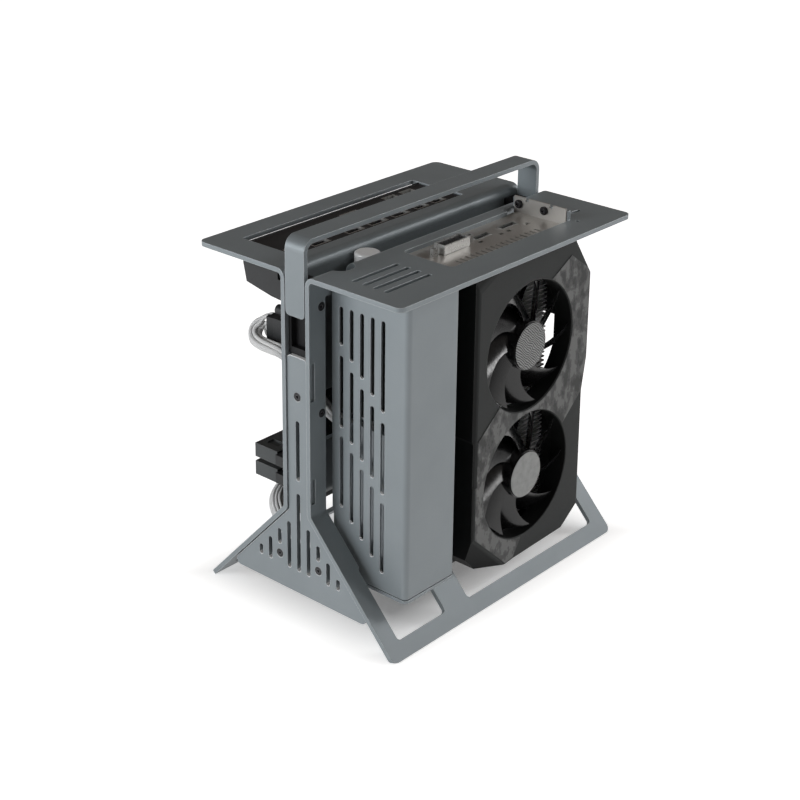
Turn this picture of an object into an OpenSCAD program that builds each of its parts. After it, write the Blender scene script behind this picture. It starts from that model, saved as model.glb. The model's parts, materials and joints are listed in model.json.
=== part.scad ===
// Open-frame mini-ITX case with its board, graphics card and power supply.
// X runs across the case, Y from front to back, Z up from the floor. Millimetres.

/* [Frame sheets] */
// Length of the two folded side sheets, front to back
frame_length = 224; // [222:1:236]
// Height of the top plates above the floor
frame_height = 230.6; // [230:0.2:238]
// Middle of the case to the outer edge of a top plate
plate_reach = 82.5; // [80:0.5:90]
// Middle of the case to the tip of a foot
foot_reach = 80.5; // [79.5:0.5:84]
// Thickness of the folded side sheets
sheet = 3; // [2.6:0.1:3.2]
// Clear width between the two upright walls
gap = 17; // [16.6:0.1:17.6]
// Inside radius of the folds in the side sheets
bend_inside = 3; // [2:0.5:3.5]
// Height at which the legs start to splay
leg_bend_z = 74.4; // [73:0.2:76]
// Radius of the outer corners of the side sheets
corner_r = 5; // [3:0.5:7]
// Width of the leg strip in front of and behind the leg windows
leg_strip = 12.3; // [12.3:0.1:13]
// Width of the leg strip left at the foot below the leg windows
foot_strip = 11.3; // [9:0.5:13]

/* [Slots] */
// Distance from one vent slot to the next
slot_pitch = 8.3; // [7.6:0.1:8.6]
// Width of a vent slot
slot_w = 3.2; // [2:0.2:4]

/* [Handle] */
// Width of the flat bar that the handle is bent from
handle_w = 15.5; // [14:0.1:16]
// Thickness of the handle bar
handle_t = 3; // [2.5:0.1:3.4]
// How far the handle slides down into the frame
handle_travel = 21.4; // [18:0.1:22]
// Length of each handle leg, from the top face of the bar down
handle_leg = 49; // [48:0.5:52]
// Outside radius of the two handle bends
handle_bend = 8; // [6:0.5:10]

/* [End plates] */
// How far the end plates sit behind the edges of the side sheets
end_recess = 1.2; // [0.8:0.1:1.4]
// Thickness of the end plates
end_plate_t = 3; // [2.4:0.1:3.2]
// Height of the lower edge of the end plates
end_plate_low = 16.5; // [14:0.5:20]

/* [Power supply cover] */
// Front edge of the frame to the front face of the cover
cover_front = 17.9; // [17:0.1:18.5]
// Depth of the cover from front to back
cover_depth = 46.1; // [45.5:0.1:46.5]
// Middle of the case to the outer face of the cover
cover_reach = 73.1; // [70:0.5:75]
// Height of the underside of the cover's base
cover_low = 30.4; // [28:0.2:34]
// Thickness of the cover's sheet
cover_t = 1.5; // [1.2:0.1:1.8]
// Height of the power supply's own case
psu_h = 84; // [80:1:90]

/* [Motherboard] */
// Side length of the square board
board_size = 170; // [170:1:171]
// Thickness of the board
board_t = 1.6; // [1.4:0.1:2]
// Height of the stand-offs that carry the board
standoff_h = 12.5; // [11.5:0.5:13]
// Front edge of the frame to the front edge of the board
board_front = 15.5; // [15:0.1:16]
// Side length of the square cooler fan
cooler_fan = 80; // [76:1:84]

/* [Graphics card] */
// Front edge of the frame to the back face of the card's bracket flange
card_flange = 184; // [183:0.5:185]
// Middle of the case to the outer face of the card's shroud
card_face = 72; // [70:0.5:74]
// Length of the card below its bracket
card_len = 208; // [204:1:210]
// Radius of the two round openings in the shroud
fan_open_r = 43; // [41:0.5:44]
// Distance between the two card fans
fan_pitch = 89.4; // [88:0.2:91]
// Number of blades on each card fan
card_blades = 9; // [7:1:11]

/* [Power button] */
// Diameter of the button's cap
button_d = 16.2; // [12:0.2:16.2]
// How far the button can be pressed
button_travel = 2; // [1:0.1:2.4]

/* [Hidden] */
$fn = 48;
eps = 1;

// Clearances
slip = 0.2;
seat = 0.3;
run = 0.05;
lap = 0.35;
hair = 0.02;

// Side sheets
wall_in = gap / 2;
wall_out = wall_in + sheet;
arc_x = wall_out + bend_inside;
arc_top_z = frame_height - sheet - bend_inside;
under_plate = frame_height - sheet;
leg_turn = atan2(foot_reach - wall_out, leg_bend_z);
leg_slope = 90 - leg_turn;
leg_len = norm([foot_reach - wall_out, leg_bend_z]);
arc_leg_z = leg_bend_z + bend_inside * tan(leg_turn / 2);
half_l = frame_length / 2;

function fy(d) = d - half_l;
function leg_z(x, inset) = leg_bend_z - (x - wall_out) * tan(leg_slope) - inset / cos(leg_slope);
function leg_x(z, inset) = wall_out + (leg_bend_z - inset / cos(leg_slope) - z) / tan(leg_slope);

// Leg and wall openings
window_front = 13.8;
window_rear = 58;
window_low_s = leg_len - foot_strip;
divider_front = 57;
divider_rear = 78.7;
cover_rear = cover_front + cover_depth;
psu_window_top = under_plate - 12.6;
step_s = 40;
riser_window = [frame_length - 34, frame_length - 20];
cable_window = [24, 57];
cable_window_z = [under_plate - 119.6, under_plate - 85.6];
window_r = 2.5;

// Handle and guides
handle_top = under_plate + handle_t + handle_travel;
handle_low = handle_top - handle_leg;
slide_h = 8;
slide_t = 4;
slide_w = 12;
slide_rise = 0.5;
strip_top = handle_low - handle_travel - 4.6;
guide_front = handle_t + slip;
guide_depth = 12.8;
guide_top = frame_height - 6.6;
guide_low = strip_top - 40.5;
plate_back = end_recess + end_plate_t;
wall_screw_y = guide_front + 7.4;
wall_screw_z = [guide_top - 14.2, guide_low + 4.4];

// Screws
m3 = 3;
m3_head = 5.8;
m3_clear = 3.3;
m3_thread = 3.1;

// End plates
tab_z = [[151, 175.3], [82.4, 98.6]];
plate_screw_top = strip_top - 26;
plate_screw_low = 38.8;
end_slot_low = 31.9;
end_slot_tops = [85.9, 64, 56, 47.3, 39];
end_slot_short_low = 45.5;
end_corner_r = 3.5;
bar_h = 9.6;
bar_depth = 8;

// Cover
cover_in_x = cover_reach - cover_t;
cover_floor_t = 2;
cover_seam = 0.8;
cover_edge_z = cover_low + cover_floor_t + cover_seam;
cover_bend = 3.5;
cover_left = wall_out + 1.5;
cover_slot_x = cover_left + 7.5;
cover_slot_top = frame_height - 20.6;
cover_top = under_plate - 0.6;
cover_tab_z = [[100, 115], [184, 199]];
cover_notch_z = arc_leg_z + 2;

// Power supply
psu_gap = 1;
psu_front = cover_front + cover_t + psu_gap;
psu_rear = cover_rear - cover_t - psu_gap;
psu_x1 = cover_in_x - psu_gap;
psu_x0 = wall_out + 0.4 * bend_inside;
psu_top = under_plate - 0.4 * bend_inside;
psu_low = psu_top - psu_h;
psu_mid_x = (psu_x0 + psu_x1) / 2;
psu_mid_y = (psu_front + psu_rear) / 2;
psu_fan_r = 17.5;
psu_fan_depth = 10;

// Board
board_x = wall_out + standoff_h + board_t;
board_top = under_plate - 1.6;
io_y = [21.5, 180.3];
io_x = [21.5, 66];
shield_t = 0.6;
hole_edge = 6.35;
hole_rear = 10.16;
hole_wide = board_size - 12.52;
hole_rows = [0, 22.86, board_size - 15.06];

// Card
card_top = under_plate - 0.9;
bracket_t = 0.9;
slot_x = [22, 61];
card_front = 70;
card_pcb_x = 26.9;
card_pcb_t = 1.6;
card_low = under_plate - card_len + 1;
card_pcb_low = under_plate - 165.6;
shroud_y = [82, 197];
shroud_back = 46;
shroud_wall = 2;
band_rise = 0.4;
fan_y = 136;
fan_top_z = under_plate - 65;
hub_r = 16;
blade_gap = 1.5;
flange_screw_x = [23, 43.3];
flange_screw_z = frame_height + 2.9;
tab_rise = 6.2;
flange_rise = 7.9;
finger_y = 76;
card_body_y = 83.4;

// Button
button_y = 63;
button_top = under_plate - 0.4;
button_edge = 1.4;
button_bracket_z = under_plate - 14.6;
stem_r = 3;

// Route of the processor power cable, distances from the front edge
eps_route = [[-41.4, 21, 180], [-43.6, 21, 180], [-46, 20.6, 180], [-49.6, 18.4, 178.4], [-50, 15.6, 175],
    [-46, 12.4, 172.4], [-39, 10.8, 171.6], [-30, 9.8, 172], [-22.4, 10.6, 171.4], [-18, 15, 166],
    [-17.8, 22, 156], [-17.2, 30, 144], [-14, 37, 131], [-7, 40, 124], [2, 40.5, 121], [13, 40.5, 121],
    [23, 40.6, 124], [28, 40.8, 128.6], [29, 41, 132.6], [29, 41, 135.8]];
// Route of the main board cable, distances from the front edge
atx_route = [[-41.9, 64, 62], [-44.4, 64, 62], [-46.8, 63.7, 61.9], [-50.4, 52, 60], [-49.6, 39, 59],
    [-44, 27, 57], [-36, 20.6, 53], [-28, 20, 48.4], [-18, 24, 43.6], [-8, 31, 41.6], [4, 36, 42.6],
    [16, 39, 47.6], [28, 40.4, 57], [38, 41, 71], [45, 41, 89], [48.4, 41, 108], [49, 41, 122],
    [49, 41, 130], [49, 41, 135.8]];
eps_d = 9;
atx_d = 11;

module box(x, y, z) {
    translate([x[0], y[0], z[0]]) cube([x[1] - x[0], y[1] - y[0], z[1] - z[0]]);
}

// A box whose Y limits are distances from the front edge of the frame
module fbox(x, y, z) {
    box(x, [fy(y[0]), fy(y[1])], z);
}

// Rounded rectangle about the origin
module rrect(w, h, r) {
    square([w - 2 * r, h], center = true);
    square([w, h - 2 * r], center = true);
    for (sx = [-1, 1], sy = [-1, 1]) translate([sx * (w / 2 - r), sy * (h / 2 - r)]) circle(r);
}

// Round-ended slot about the origin, h long along the second axis
module slot2d(w, h) {
    square([w, h - w], center = true);
    for (s = [-1, 1]) translate([0, s * (h - w) / 2]) circle(w / 2);
}

// Part of a ring between two angles no more than 90 degrees apart
module ring_sector(ri, ro, a0, a1) {
    k = 2 * ro;
    m = (a0 + a1) / 2;
    intersection() {
        difference() {
            circle(ro);
            circle(ri);
        }
        polygon([[0, 0], k * [cos(a0), sin(a0)], k * [cos(m), sin(m)], k * [cos(a1), sin(a1)]]);
    }
}

// Extrudes an outline drawn in X and Z along Y, from y0 for t
module upright(y0, t) {
    translate([0, y0 + t, 0]) rotate([90, 0, 0]) linear_extrude(t) children();
}

// Extrudes an outline drawn in Y and Z along X, from x0 for t
module sideways(x0, t) {
    translate([x0, 0, 0]) rotate([90, 0, 90]) linear_extrude(t) children();
}

// Places a shape on the outer face of the right leg: first axis down the leg, third axis out of it
module on_leg() {
    translate([wall_out, 0, leg_bend_z]) rotate([0, leg_slope, 0]) children();
}

// What is cut away to round a corner at the origin that points to +X +Y
module corner_cut(r, h) {
    translate([-r, -r, 0]) difference() {
        cube([r + 4, r + 4, h]);
        translate([0, 0, -1]) cylinder(r = r, h = h + 2);
    }
}

// Countersunk screw, head flush at the origin, shank along -Z
module flat_screw(d, head, length) {
    difference() {
        union() {
            translate([0, 0, -(head - d) / 2]) cylinder(h = (head - d) / 2, r1 = d / 2, r2 = head / 2);
            translate([0, 0, -length]) cylinder(h = length - (head - d) / 2, d = d);
        }
        translate([0, 0, -1.2]) cylinder(h = 3, d = d * 0.7, $fn = 6);
    }
}

// Countersunk hole for that screw
module flat_hole(d, clear, head, length) {
    translate([0, 0, -(head - d) / 2 - 0.1])
        cylinder(h = (head - d) / 2 + 0.11, r1 = d / 2, r2 = head / 2 + 0.1);
    translate([0, 0, -length]) cylinder(h = length, d = clear);
}

// Pan-head screw, head seated on the origin, shank along -Z
module pan_screw(d, head, head_h, length) {
    difference() {
        union() {
            cylinder(h = head_h * 0.6, d = head);
            translate([0, 0, head_h * 0.6]) cylinder(h = head_h * 0.4, d1 = head, d2 = head * 0.72);
            translate([0, 0, -length]) cylinder(h = length, d = d);
        }
        translate([0, 0, head_h * 0.4]) cylinder(h = head_h, d = head * 0.42, $fn = 6);
    }
}

// Profile of a folded side sheet seen from the front
module side_profile() {
    translate([wall_in, arc_leg_z]) square([sheet, arc_top_z - arc_leg_z]);
    translate([arc_x, arc_top_z]) ring_sector(bend_inside, bend_inside + sheet, 90, 180);
    translate([arc_x, under_plate]) square([plate_reach - arc_x, sheet]);
    translate([arc_x, arc_leg_z]) ring_sector(bend_inside, bend_inside + sheet, 180, 180 + leg_turn);
    intersection() {
        translate([wall_out, leg_bend_z]) rotate(-leg_slope)
            translate([arc_leg_z - leg_bend_z - lap, -sheet - hair / 2])
                square([leg_len + lap, sheet + hair]);
        square([2 * plate_reach, leg_bend_z + sheet]);
    }
}

// Countersunk holes for the screws that hold the two guide blocks
module wall_screw_spots() {
    for (my = [0, 1], z = wall_screw_z) mirror([0, my, 0]) translate([wall_out, fy(wall_screw_y), z])
        rotate([0, 90, 0]) children();
}

// One side sheet with what both sheets have in common
module side_sheet() {
    difference() {
        upright(-half_l, frame_length) side_profile();
        for (s = [0, 1]) mirror([0, s, 0]) {
            translate([plate_reach, half_l, under_plate - 1]) corner_cut(corner_r, sheet + 2);
            on_leg() translate([leg_len, half_l, -sheet - 1]) corner_cut(corner_r, sheet + 2);
            for (z = tab_z) fbox([wall_in - 1, wall_out + 1], [end_recess - slip, plate_back + slip],
                [z[0] - slip, z[1] + slip]);
        }
        wall_screw_spots() flat_hole(m3, m3_clear, m3_head, sheet + 1);
        fbox([wall_in - 1, wall_out + 1], riser_window, [ribbon_z[0] - 3, ribbon_z[1] + 3]);
    }
}

// Leg window between two distances down the leg and two from the front edge
module leg_window(s, y) {
    on_leg() translate([(s[0] + s[1]) / 2, fy((y[0] + y[1]) / 2), -sheet - 3])
        linear_extrude(sheet + 6) rrect(s[1] - s[0], y[1] - y[0], window_r);
}

module right_frame() {
    color([0.5, 0.54, 0.57]) {
        difference() {
            side_sheet();
            // opening for the card's bracket, its screw heads and its flange
            translate([0, 0, under_plate - 1]) linear_extrude(sheet + 2) {
                translate([(slot_x[0] + slot_x[1]) / 2, fy((card_front + card_flange) / 2)])
                    rrect(slot_x[1] - slot_x[0], card_flange - card_front, 3.5);
                translate([17.6, fy(172)]) square([slot_x[1] - 17.6, card_flange + 3.5 - 172]);
            }
            // four vent slots over the power supply
            for (k = [0:3]) translate([34.2 + k * slot_pitch, fy(33), under_plate - 1])
                linear_extrude(sheet + 2) slot2d(slot_w, 40);
            // small slot and hole behind the bracket
            translate([54, fy(202), under_plate - 1]) linear_extrude(sheet + 2) slot2d(2.4, 10);
            translate([66, fy(188), under_plate - 1]) cylinder(h = sheet + 2, d = 2.4);
            // half-round notch that lets a mains lead past the lowered handle
            translate([wall_out, fy(27), arc_top_z - 1]) cylinder(r = 8.5, h = 12);
            // window for the power supply's leads, open down into the leg
            fbox([wall_in - 2, arc_x + 3], [window_front, window_rear], [leg_bend_z - 6, psu_window_top]);
            leg_window([1, window_low_s - 20], [window_front + hair, window_rear - hair]);
            leg_window([7, 62], [window_front + 2 * hair, cover_rear + 2]);
            leg_window([step_s, window_low_s], [leg_strip, divider_front]);
            leg_window([8, window_low_s], [divider_rear, frame_length - leg_strip - 0.7]);
            // slots for the cover's tabs
            for (z = cover_tab_z) fbox([wall_in - 1, wall_out + 1],
                [cover_rear - cover_t - slip, cover_rear + slip], [z[0] - slip, z[1] + slip]);
        }
        difference() {
            // upturned tab that the bracket's flange is screwed to
            translate([17.6, fy(card_flange), 0]) rotate([90, 0, 90]) linear_extrude(slot_x[1] - 17.6) {
                translate([0, frame_height + 0.5]) square([sheet, tab_rise - 0.5]);
                translate([sheet + 0.5, frame_height + 0.5]) ring_sector(0.5, sheet + 0.5, 180, 270);
            }
            for (x = flange_screw_x) translate([x, fy(card_flange) - 1, flange_screw_z]) rotate([-90, 0, 0])
                cylinder(h = sheet + 2, d = m3_thread);
        }
    }
}

module left_frame() {
    color([0.5, 0.54, 0.57]) mirror([1, 0, 0]) difference() {
        side_sheet();
        // aperture for the board's connectors
        translate([(io_x[0] + io_x[1]) / 2, fy((io_y[0] + io_y[1]) / 2), under_plate - 1])
            linear_extrude(sheet + 2) rrect(io_x[1] - io_x[0], io_y[1] - io_y[0], 1);
        leg_window([8, window_low_s], [leg_strip, frame_length - leg_strip - 0.7]);
        // window for the processor's power cable
        fbox([wall_in - 1, wall_out + 1], cable_window, cable_window_z);
    }
}

// Blank of an end plate: a strip between the walls that widens between the legs
module end_plate_blank() {
    hw = wall_in - seat;
    c = sheet + 0.5;
    r = end_corner_r;
    y = fy(end_recess);
    x1 = leg_x(end_plate_low + r * (1 + cos(leg_slope)), c);
    cx = x1 - r * sin(leg_slope);
    half = [[hw - 3, strip_top], [hw, strip_top - 3], [hw, leg_z(hw, c)], [x1, leg_z(x1, c)],
        [cx, end_plate_low + r], [cx, end_plate_low]];
    upright(y, end_plate_t)
        polygon(concat(half, [for (i = [len(half) - 1:-1:0]) [-half[i][0], half[i][1]]]));
    for (s = [-1, 1]) {
        upright(y, end_plate_t) translate([s * cx, end_plate_low + r]) circle(r);
        upright(y, end_plate_t) translate([s * (hw - 3), strip_top - 3]) circle(3);
        // tabs that reach halfway into the slots of the walls
        for (z = tab_z) box([s < 0 ? -wall_in - sheet / 2 : hw - 1, s < 0 ? 1 - hw : wall_in + sheet / 2],
            [y, y + end_plate_t], z);
    }
}

module end_plate() {
    difference() {
        end_plate_blank();
        upright(fy(end_recess) - 1, end_plate_t + 2) {
            translate([0, (strip_top - 42 + 94.8) / 2]) slot2d(slot_w, strip_top - 42 - 94.8);
            for (k = [-4:4]) {
                low = abs(k) == 2 ? end_slot_short_low : end_slot_low;
                high = end_slot_tops[abs(k)];
                translate([k * slot_pitch, (low + high) / 2]) slot2d(slot_w, high - low);
            }
        }
        end_screw_spots() flat_hole(m3, m3_clear, m3_head, end_plate_t + 1);
    }
}

// The three screws of an end plate, heads facing the front
module end_screw_spots() {
    for (p = [[0, plate_screw_top], [-2 * slot_pitch, plate_screw_low], [2 * slot_pitch, plate_screw_low]])
        translate([p[0], fy(end_recess), p[1]]) rotate([90, 0, 0]) children();
}

module front_end_plate() {
    color([0.53, 0.57, 0.6]) end_plate();
}

module rear_end_plate() {
    color([0.53, 0.57, 0.6]) mirror([0, 1, 0]) end_plate();
}

// Black block between the walls that spaces them and guides a handle leg
module guide_block() {
    pocket_low = handle_low + slide_rise - handle_travel - seat;
    pocket_top = handle_low + slide_rise + slide_h + seat;
    difference() {
        union() {
            fbox([-wall_in, wall_in], [guide_front, guide_front + guide_depth],
                [strip_top + seat, guide_top]);
            fbox([-wall_in, wall_in], [plate_back, guide_front + guide_depth], [guide_low, strip_top + 1]);
        }
        fbox([-slide_w / 2 - slip, slide_w / 2 + slip], [guide_front - 1, guide_front + slide_t],
            [pocket_low, pocket_top]);
        translate([0, fy(plate_back) - 1, plate_screw_top]) rotate([-90, 0, 0])
            cylinder(h = 9, d = m3_thread);
        for (s = [-1, 1], z = wall_screw_z) translate([s * (wall_in + 1), fy(wall_screw_y), z])
            rotate([0, -s * 90, 0]) cylinder(h = 6.5, d = m3_thread);
        // lightening pocket open to the inside of the case
        fbox([-wall_in + 3, wall_in - 3], [guide_front + slide_t + 2.5, guide_front + guide_depth + 1],
            [guide_low + 16, wall_screw_z[0] - 5]);
    }
}

module front_guide_block() {
    color([0.06, 0.06, 0.07]) guide_block();
}

module rear_guide_block() {
    color([0.06, 0.06, 0.07]) mirror([0, 1, 0]) guide_block();
}

// Bar that fills the width between the legs behind an end plate
module cross_bar() {
    z0 = plate_screw_low - bar_h / 2;
    z1 = plate_screw_low + bar_h / 2;
    x0 = leg_x(z0, sheet + 2 * hair);
    x1 = leg_x(z1, sheet + 2 * hair);
    difference() {
        upright(fy(plate_back), bar_depth) polygon([[-x0, z0], [x0, z0], [x1, z1], [-x1, z1]]);
        for (s = [-1, 1]) translate([s * 2 * slot_pitch, fy(plate_back) - 1, plate_screw_low])
            rotate([-90, 0, 0]) cylinder(h = bar_depth, d = m3_thread);
    }
}

module front_cross_bar() {
    color([0.06, 0.06, 0.07]) cross_bar();
}

module rear_cross_bar() {
    color([0.06, 0.06, 0.07]) mirror([0, 1, 0]) cross_bar();
}

module end_plate_screws() {
    color([0.1, 0.1, 0.11]) for (s = [0, 1]) mirror([0, s, 0]) end_screw_spots()
        flat_screw(m3, m3_head, end_plate_t + 6);
}

module wall_screws() {
    color([0.1, 0.1, 0.11]) for (s = [0, 1]) mirror([s, 0, 0]) wall_screw_spots()
        flat_screw(m3, m3_head, sheet + 4.5);
}

// Handle bar seen from the side
module handle_profile() {
    r = handle_bend;
    for (s = [0, 1]) mirror([s, 0]) {
        translate([-half_l, handle_low]) square([handle_t, handle_leg - r]);
        translate([r - half_l, handle_top - r]) ring_sector(r - handle_t, r, 90, 180);
        translate([r - half_l, handle_top - handle_t]) square([half_l - r, handle_t]);
    }
}

module handle() {
    color([0.5, 0.54, 0.57]) difference() {
        sideways(-handle_w / 2, handle_w) handle_profile();
        for (sx = [0, 1], sy = [0, 1]) mirror([sx, 0, 0]) mirror([0, sy, 0])
            translate([handle_w / 2, -half_l - 1, handle_low]) rotate([-90, 0, 0])
                corner_cut(3, handle_t + 2);
    }
}

module handle_slides() {
    color([0.06, 0.06, 0.07]) for (s = [0, 1]) mirror([0, s, 0])
        fbox([-slide_w / 2, slide_w / 2], [handle_t, handle_t + slide_t],
            [handle_low + slide_rise, handle_low + slide_rise + slide_h]);
}

module button_bracket() {
    color([0.1, 0.1, 0.11]) difference() {
        union() {
            fbox([-wall_in, wall_in], [button_y - 12, button_y + 12],
                [button_bracket_z, button_bracket_z + 1.5]);
            for (s = [0, 1]) mirror([s, 0, 0]) fbox([wall_in - 1.5, wall_in], [button_y - 12, button_y + 12],
                [button_bracket_z - 9, button_bracket_z]);
        }
        translate([0, fy(button_y), button_bracket_z - 1]) cylinder(r = stem_r + run, h = 4);
    }
}

module power_button() {
    cap_low = button_bracket_z + 1.5 + button_travel + 1;
    color([0.86, 0.87, 0.88]) translate([0, fy(button_y), 0]) {
        translate([0, 0, cap_low]) cylinder(d = button_d, h = button_top - button_edge - cap_low);
        translate([0, 0, cap_low + 1])
            cylinder(d = button_d - 2 * button_edge, h = button_top - cap_low - 1);
        translate([0, 0, button_top - button_edge]) rotate_extrude()
            translate([button_d / 2 - button_edge, 0]) circle(button_edge);
        translate([0, 0, button_bracket_z - 1.8]) cylinder(r = stem_r, h = cap_low - button_bracket_z + 2.8);
        translate([0, 0, button_bracket_z - 1.8]) cylinder(r = stem_r + 1.5, h = 1.5);
    }
}

module button_switch() {
    deep = button_travel + 3;
    color([0.08, 0.08, 0.09]) translate([0, fy(button_y), button_bracket_z]) {
        difference() {
            translate([0, 0, -deep - 5]) cylinder(r = 6.4, h = deep + 5);
            translate([0, 0, -deep]) cylinder(r = 5.2, h = deep + 1);
        }
        for (x = [-3, 3]) box([x - 0.4, x + 0.4], [-1.4, 1.4], [-deep - 9, -deep - 5]);
    }
}

// Cover sheet seen from above: front panel, rounded edge, side panel, rear panel
module cover_plan() {
    r = cover_bend;
    t = cover_t;
    y0 = fy(cover_front);
    y1 = fy(cover_rear);
    translate([cover_left, y0]) square([cover_reach - r - cover_left, t]);
    translate([cover_reach - r, y0 + r]) ring_sector(r - t, r, 270, 360);
    translate([cover_reach - t, y0 + r]) square([t, y1 - y0 - 2 * r]);
    translate([cover_reach - r, y1 - r]) ring_sector(r - t, r, 0, 90);
    translate([wall_out + slip, y1 - t]) square([cover_reach - r - wall_out - slip, t]);
}

module psu_cover() {
    step = slot_pitch;
    high = cover_top - cover_edge_z;
    color([0.55, 0.59, 0.62]) difference() {
        union() {
            translate([0, 0, cover_edge_z]) linear_extrude(high) cover_plan();
            // tabs through the right wall
            for (z = cover_tab_z)
                fbox([wall_in + slip, wall_out + 1], [cover_rear - cover_t, cover_rear], z);
            // shelves folded in under the power supply
            for (y = [cover_front + cover_t - 0.2, cover_rear - cover_t - 5]) for (x = [30, 56])
                fbox([x, x + 10], [y, y + 5.2], [psu_low - 1.5, psu_low]);
        }
        // three slots in each of five columns, each column one step lower
        for (k = [0:4]) upright(fy(cover_front) - 1, cover_t + 2) {
            x = cover_slot_x + k * step;
            top = cover_slot_top - k * step;
            cuts = [[top - 24.5, cover_slot_top], [top - 78.3, top - 31.4], [top - 131.9, top - 84.4]];
            for (c = cuts) translate([x, (c[0] + c[1]) / 2]) slot2d(slot_w, c[1] - c[0]);
        }
        // relief round the leg bend
        fbox([0, arc_x + 3], [cover_rear - cover_t - 1, cover_rear + 1], [0, cover_notch_z]);
        fbox([0, wall_out + 2.6], [cover_front - 1, cover_front + cover_t + 1], [0, leg_bend_z]);
        // relief round the fold under the top plate
        fbox([0, arc_x], [cover_rear - cover_t - 1, cover_rear + 1], [arc_top_z - 0.5, frame_height]);
    }
}

module psu_cover_base() {
    lip = cover_t + seat;
    color([0.5, 0.54, 0.57]) {
        translate([(wall_out + 26 + cover_reach) / 2, fy((cover_front + cover_rear) / 2), cover_low])
            linear_extrude(cover_floor_t) rrect(cover_reach - wall_out - 26, cover_depth, cover_bend);
        difference() {
            translate([(wall_out + 26 + cover_reach) / 2, fy((cover_front + cover_rear) / 2), cover_low + 1])
                linear_extrude(9) rrect(cover_reach - wall_out - 26 - 2 * lip, cover_depth - 2 * lip, 2);
            translate([(wall_out + 26 + cover_reach) / 2, fy((cover_front + cover_rear) / 2), cover_low + 2])
                linear_extrude(10) rrect(cover_reach - wall_out - 29 - 2 * lip,
                    cover_depth - 2 * lip - 3, 1);
            fbox([wall_out + 20, wall_out + 34], [cover_front, cover_rear], [cover_low + 2, cover_low + 20]);
        }
    }
}

module power_supply() {
    t = 1.2;
    fan_z = psu_top - psu_fan_depth - 2;
    color([0.09, 0.09, 0.1]) {
        difference() {
            fbox([psu_x0, psu_x1], [psu_front, psu_rear], [psu_low, psu_top]);
            fbox([psu_x0 + t, psu_x1 - t], [psu_front + t, psu_rear - t], [psu_low + t, psu_top - t]);
            // round opening over the fan
            translate([psu_mid_x, fy(psu_mid_y), psu_top - t - 1]) cylinder(r = psu_fan_r + 1, h = t + 2);
            // long cooling slots in the outer and front faces
            for (k = [0:6]) fbox([psu_x1 - t - 1, psu_x1 + 1],
                [psu_front + 4 + 5 * k, psu_front + 6 + 5 * k],
                [psu_low + 10, psu_top - 24]);
            for (k = [0:8]) fbox([psu_x0 + 6 + 5.5 * k, psu_x0 + 8.5 + 5.5 * k],
                [psu_front - 1, psu_front + t + 1],
                [psu_low + 10, psu_top - 24]);
            // seat for the inlet on the face towards the gap
            fbox([psu_x0 - 1, psu_x0 + t + 1], [psu_front + 4, psu_front + 32],
                [psu_top - 46, psu_top - 25]);
        }
        // square frame of the fan with its shaft's bore
        difference() {
            fbox([psu_mid_x - 20, psu_mid_x + 20], [psu_mid_y - 19.4, psu_mid_y + 19.4],
                [fan_z - 2, psu_top - t + 0.4]);
            translate([psu_mid_x, fy(psu_mid_y), fan_z]) cylinder(r = psu_fan_r + 1, h = psu_fan_depth + 3);
            translate([psu_mid_x, fy(psu_mid_y), fan_z - 8]) cylinder(r = 1.5 + run, h = 9);
            for (k = [0:3]) translate([psu_mid_x, fy(psu_mid_y), fan_z - 3]) rotate(45 + 90 * k)
                translate([7, -5.5, 0]) cube([8.5, 11, 5]);
        }
    }
}

// Blocks in the power supply: transformer, coils and capacitors
module psu_core() {
    t = 1.2;
    color([0.1, 0.1, 0.11]) {
        fbox([psu_x0 + t, psu_x1 - t - 2], [psu_rear - t - 8, psu_rear - t], [psu_low + t, psu_top - 24]);
        fbox([psu_x0 + 12, psu_x0 + 32], [psu_front + 8, psu_rear - t - 7], [psu_low + 6, psu_low + 30]);
        fbox([psu_x0 + 36, psu_x0 + 50], [psu_front + 8, psu_rear - t - 7], [psu_low + 6, psu_low + 44]);
        for (z = [40, 54]) translate([psu_x0 + 22, fy(psu_rear - t - 7), psu_low + z]) rotate([90, 0, 0])
            cylinder(h = 22, r = 6);
    }
}

// Three-pole inlet facing the gap between the walls
module psu_inlet() {
    color([0.05, 0.05, 0.06]) difference() {
        fbox([psu_x0 + 0.6, psu_x0 + 5], [psu_front + 4.2, psu_front + 31.8],
            [psu_top - 45.8, psu_top - 25.2]);
        fbox([psu_x0 - 1, psu_x0 + 4], [psu_front + 6, psu_front + 30], [psu_top - 43.5, psu_top - 27.5]);
    }
    color([0.8, 0.75, 0.6]) for (k = [-1:1]) fbox([psu_x0 + 0.9, psu_x0 + 4.2],
        [psu_front + 17 + 7 * k, psu_front + 19 + 7 * k],
            [psu_top - 37.5 + abs(k) * 2, psu_top - 33.5 + abs(k) * 2]);
}

// Outline of a swept blade seen along the axis: its middle line turns by sweep from the hub to the tip
function blade_mid(r0, r1, sweep, i, n) = let (k = i / n, r = r0 + (r1 - r0) * k) [r, sweep * pow(k, 1.25)];
function blade_edge(r0, r1, sweep, root, tip, side, n) = [for (i = [0:n])
    let (m = blade_mid(r0, r1, sweep, i, n), w = (root + (tip - root) * sin(90 * i / n)) / 2)
        m[0] * [cos(m[1] + side * w * 57.3 / m[0]), sin(m[1] + side * w * 57.3 / m[0])]];
module blade_outline(r0, r1, sweep, root, tip) {
    a = blade_edge(r0, r1 + 1, sweep, root, tip, -1, 8);
    b = blade_edge(r0, r1 + 1, sweep, root, tip, 1, 8);
    polygon(concat(a, [for (i = [8:-1:0]) b[i]]));
}

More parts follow.
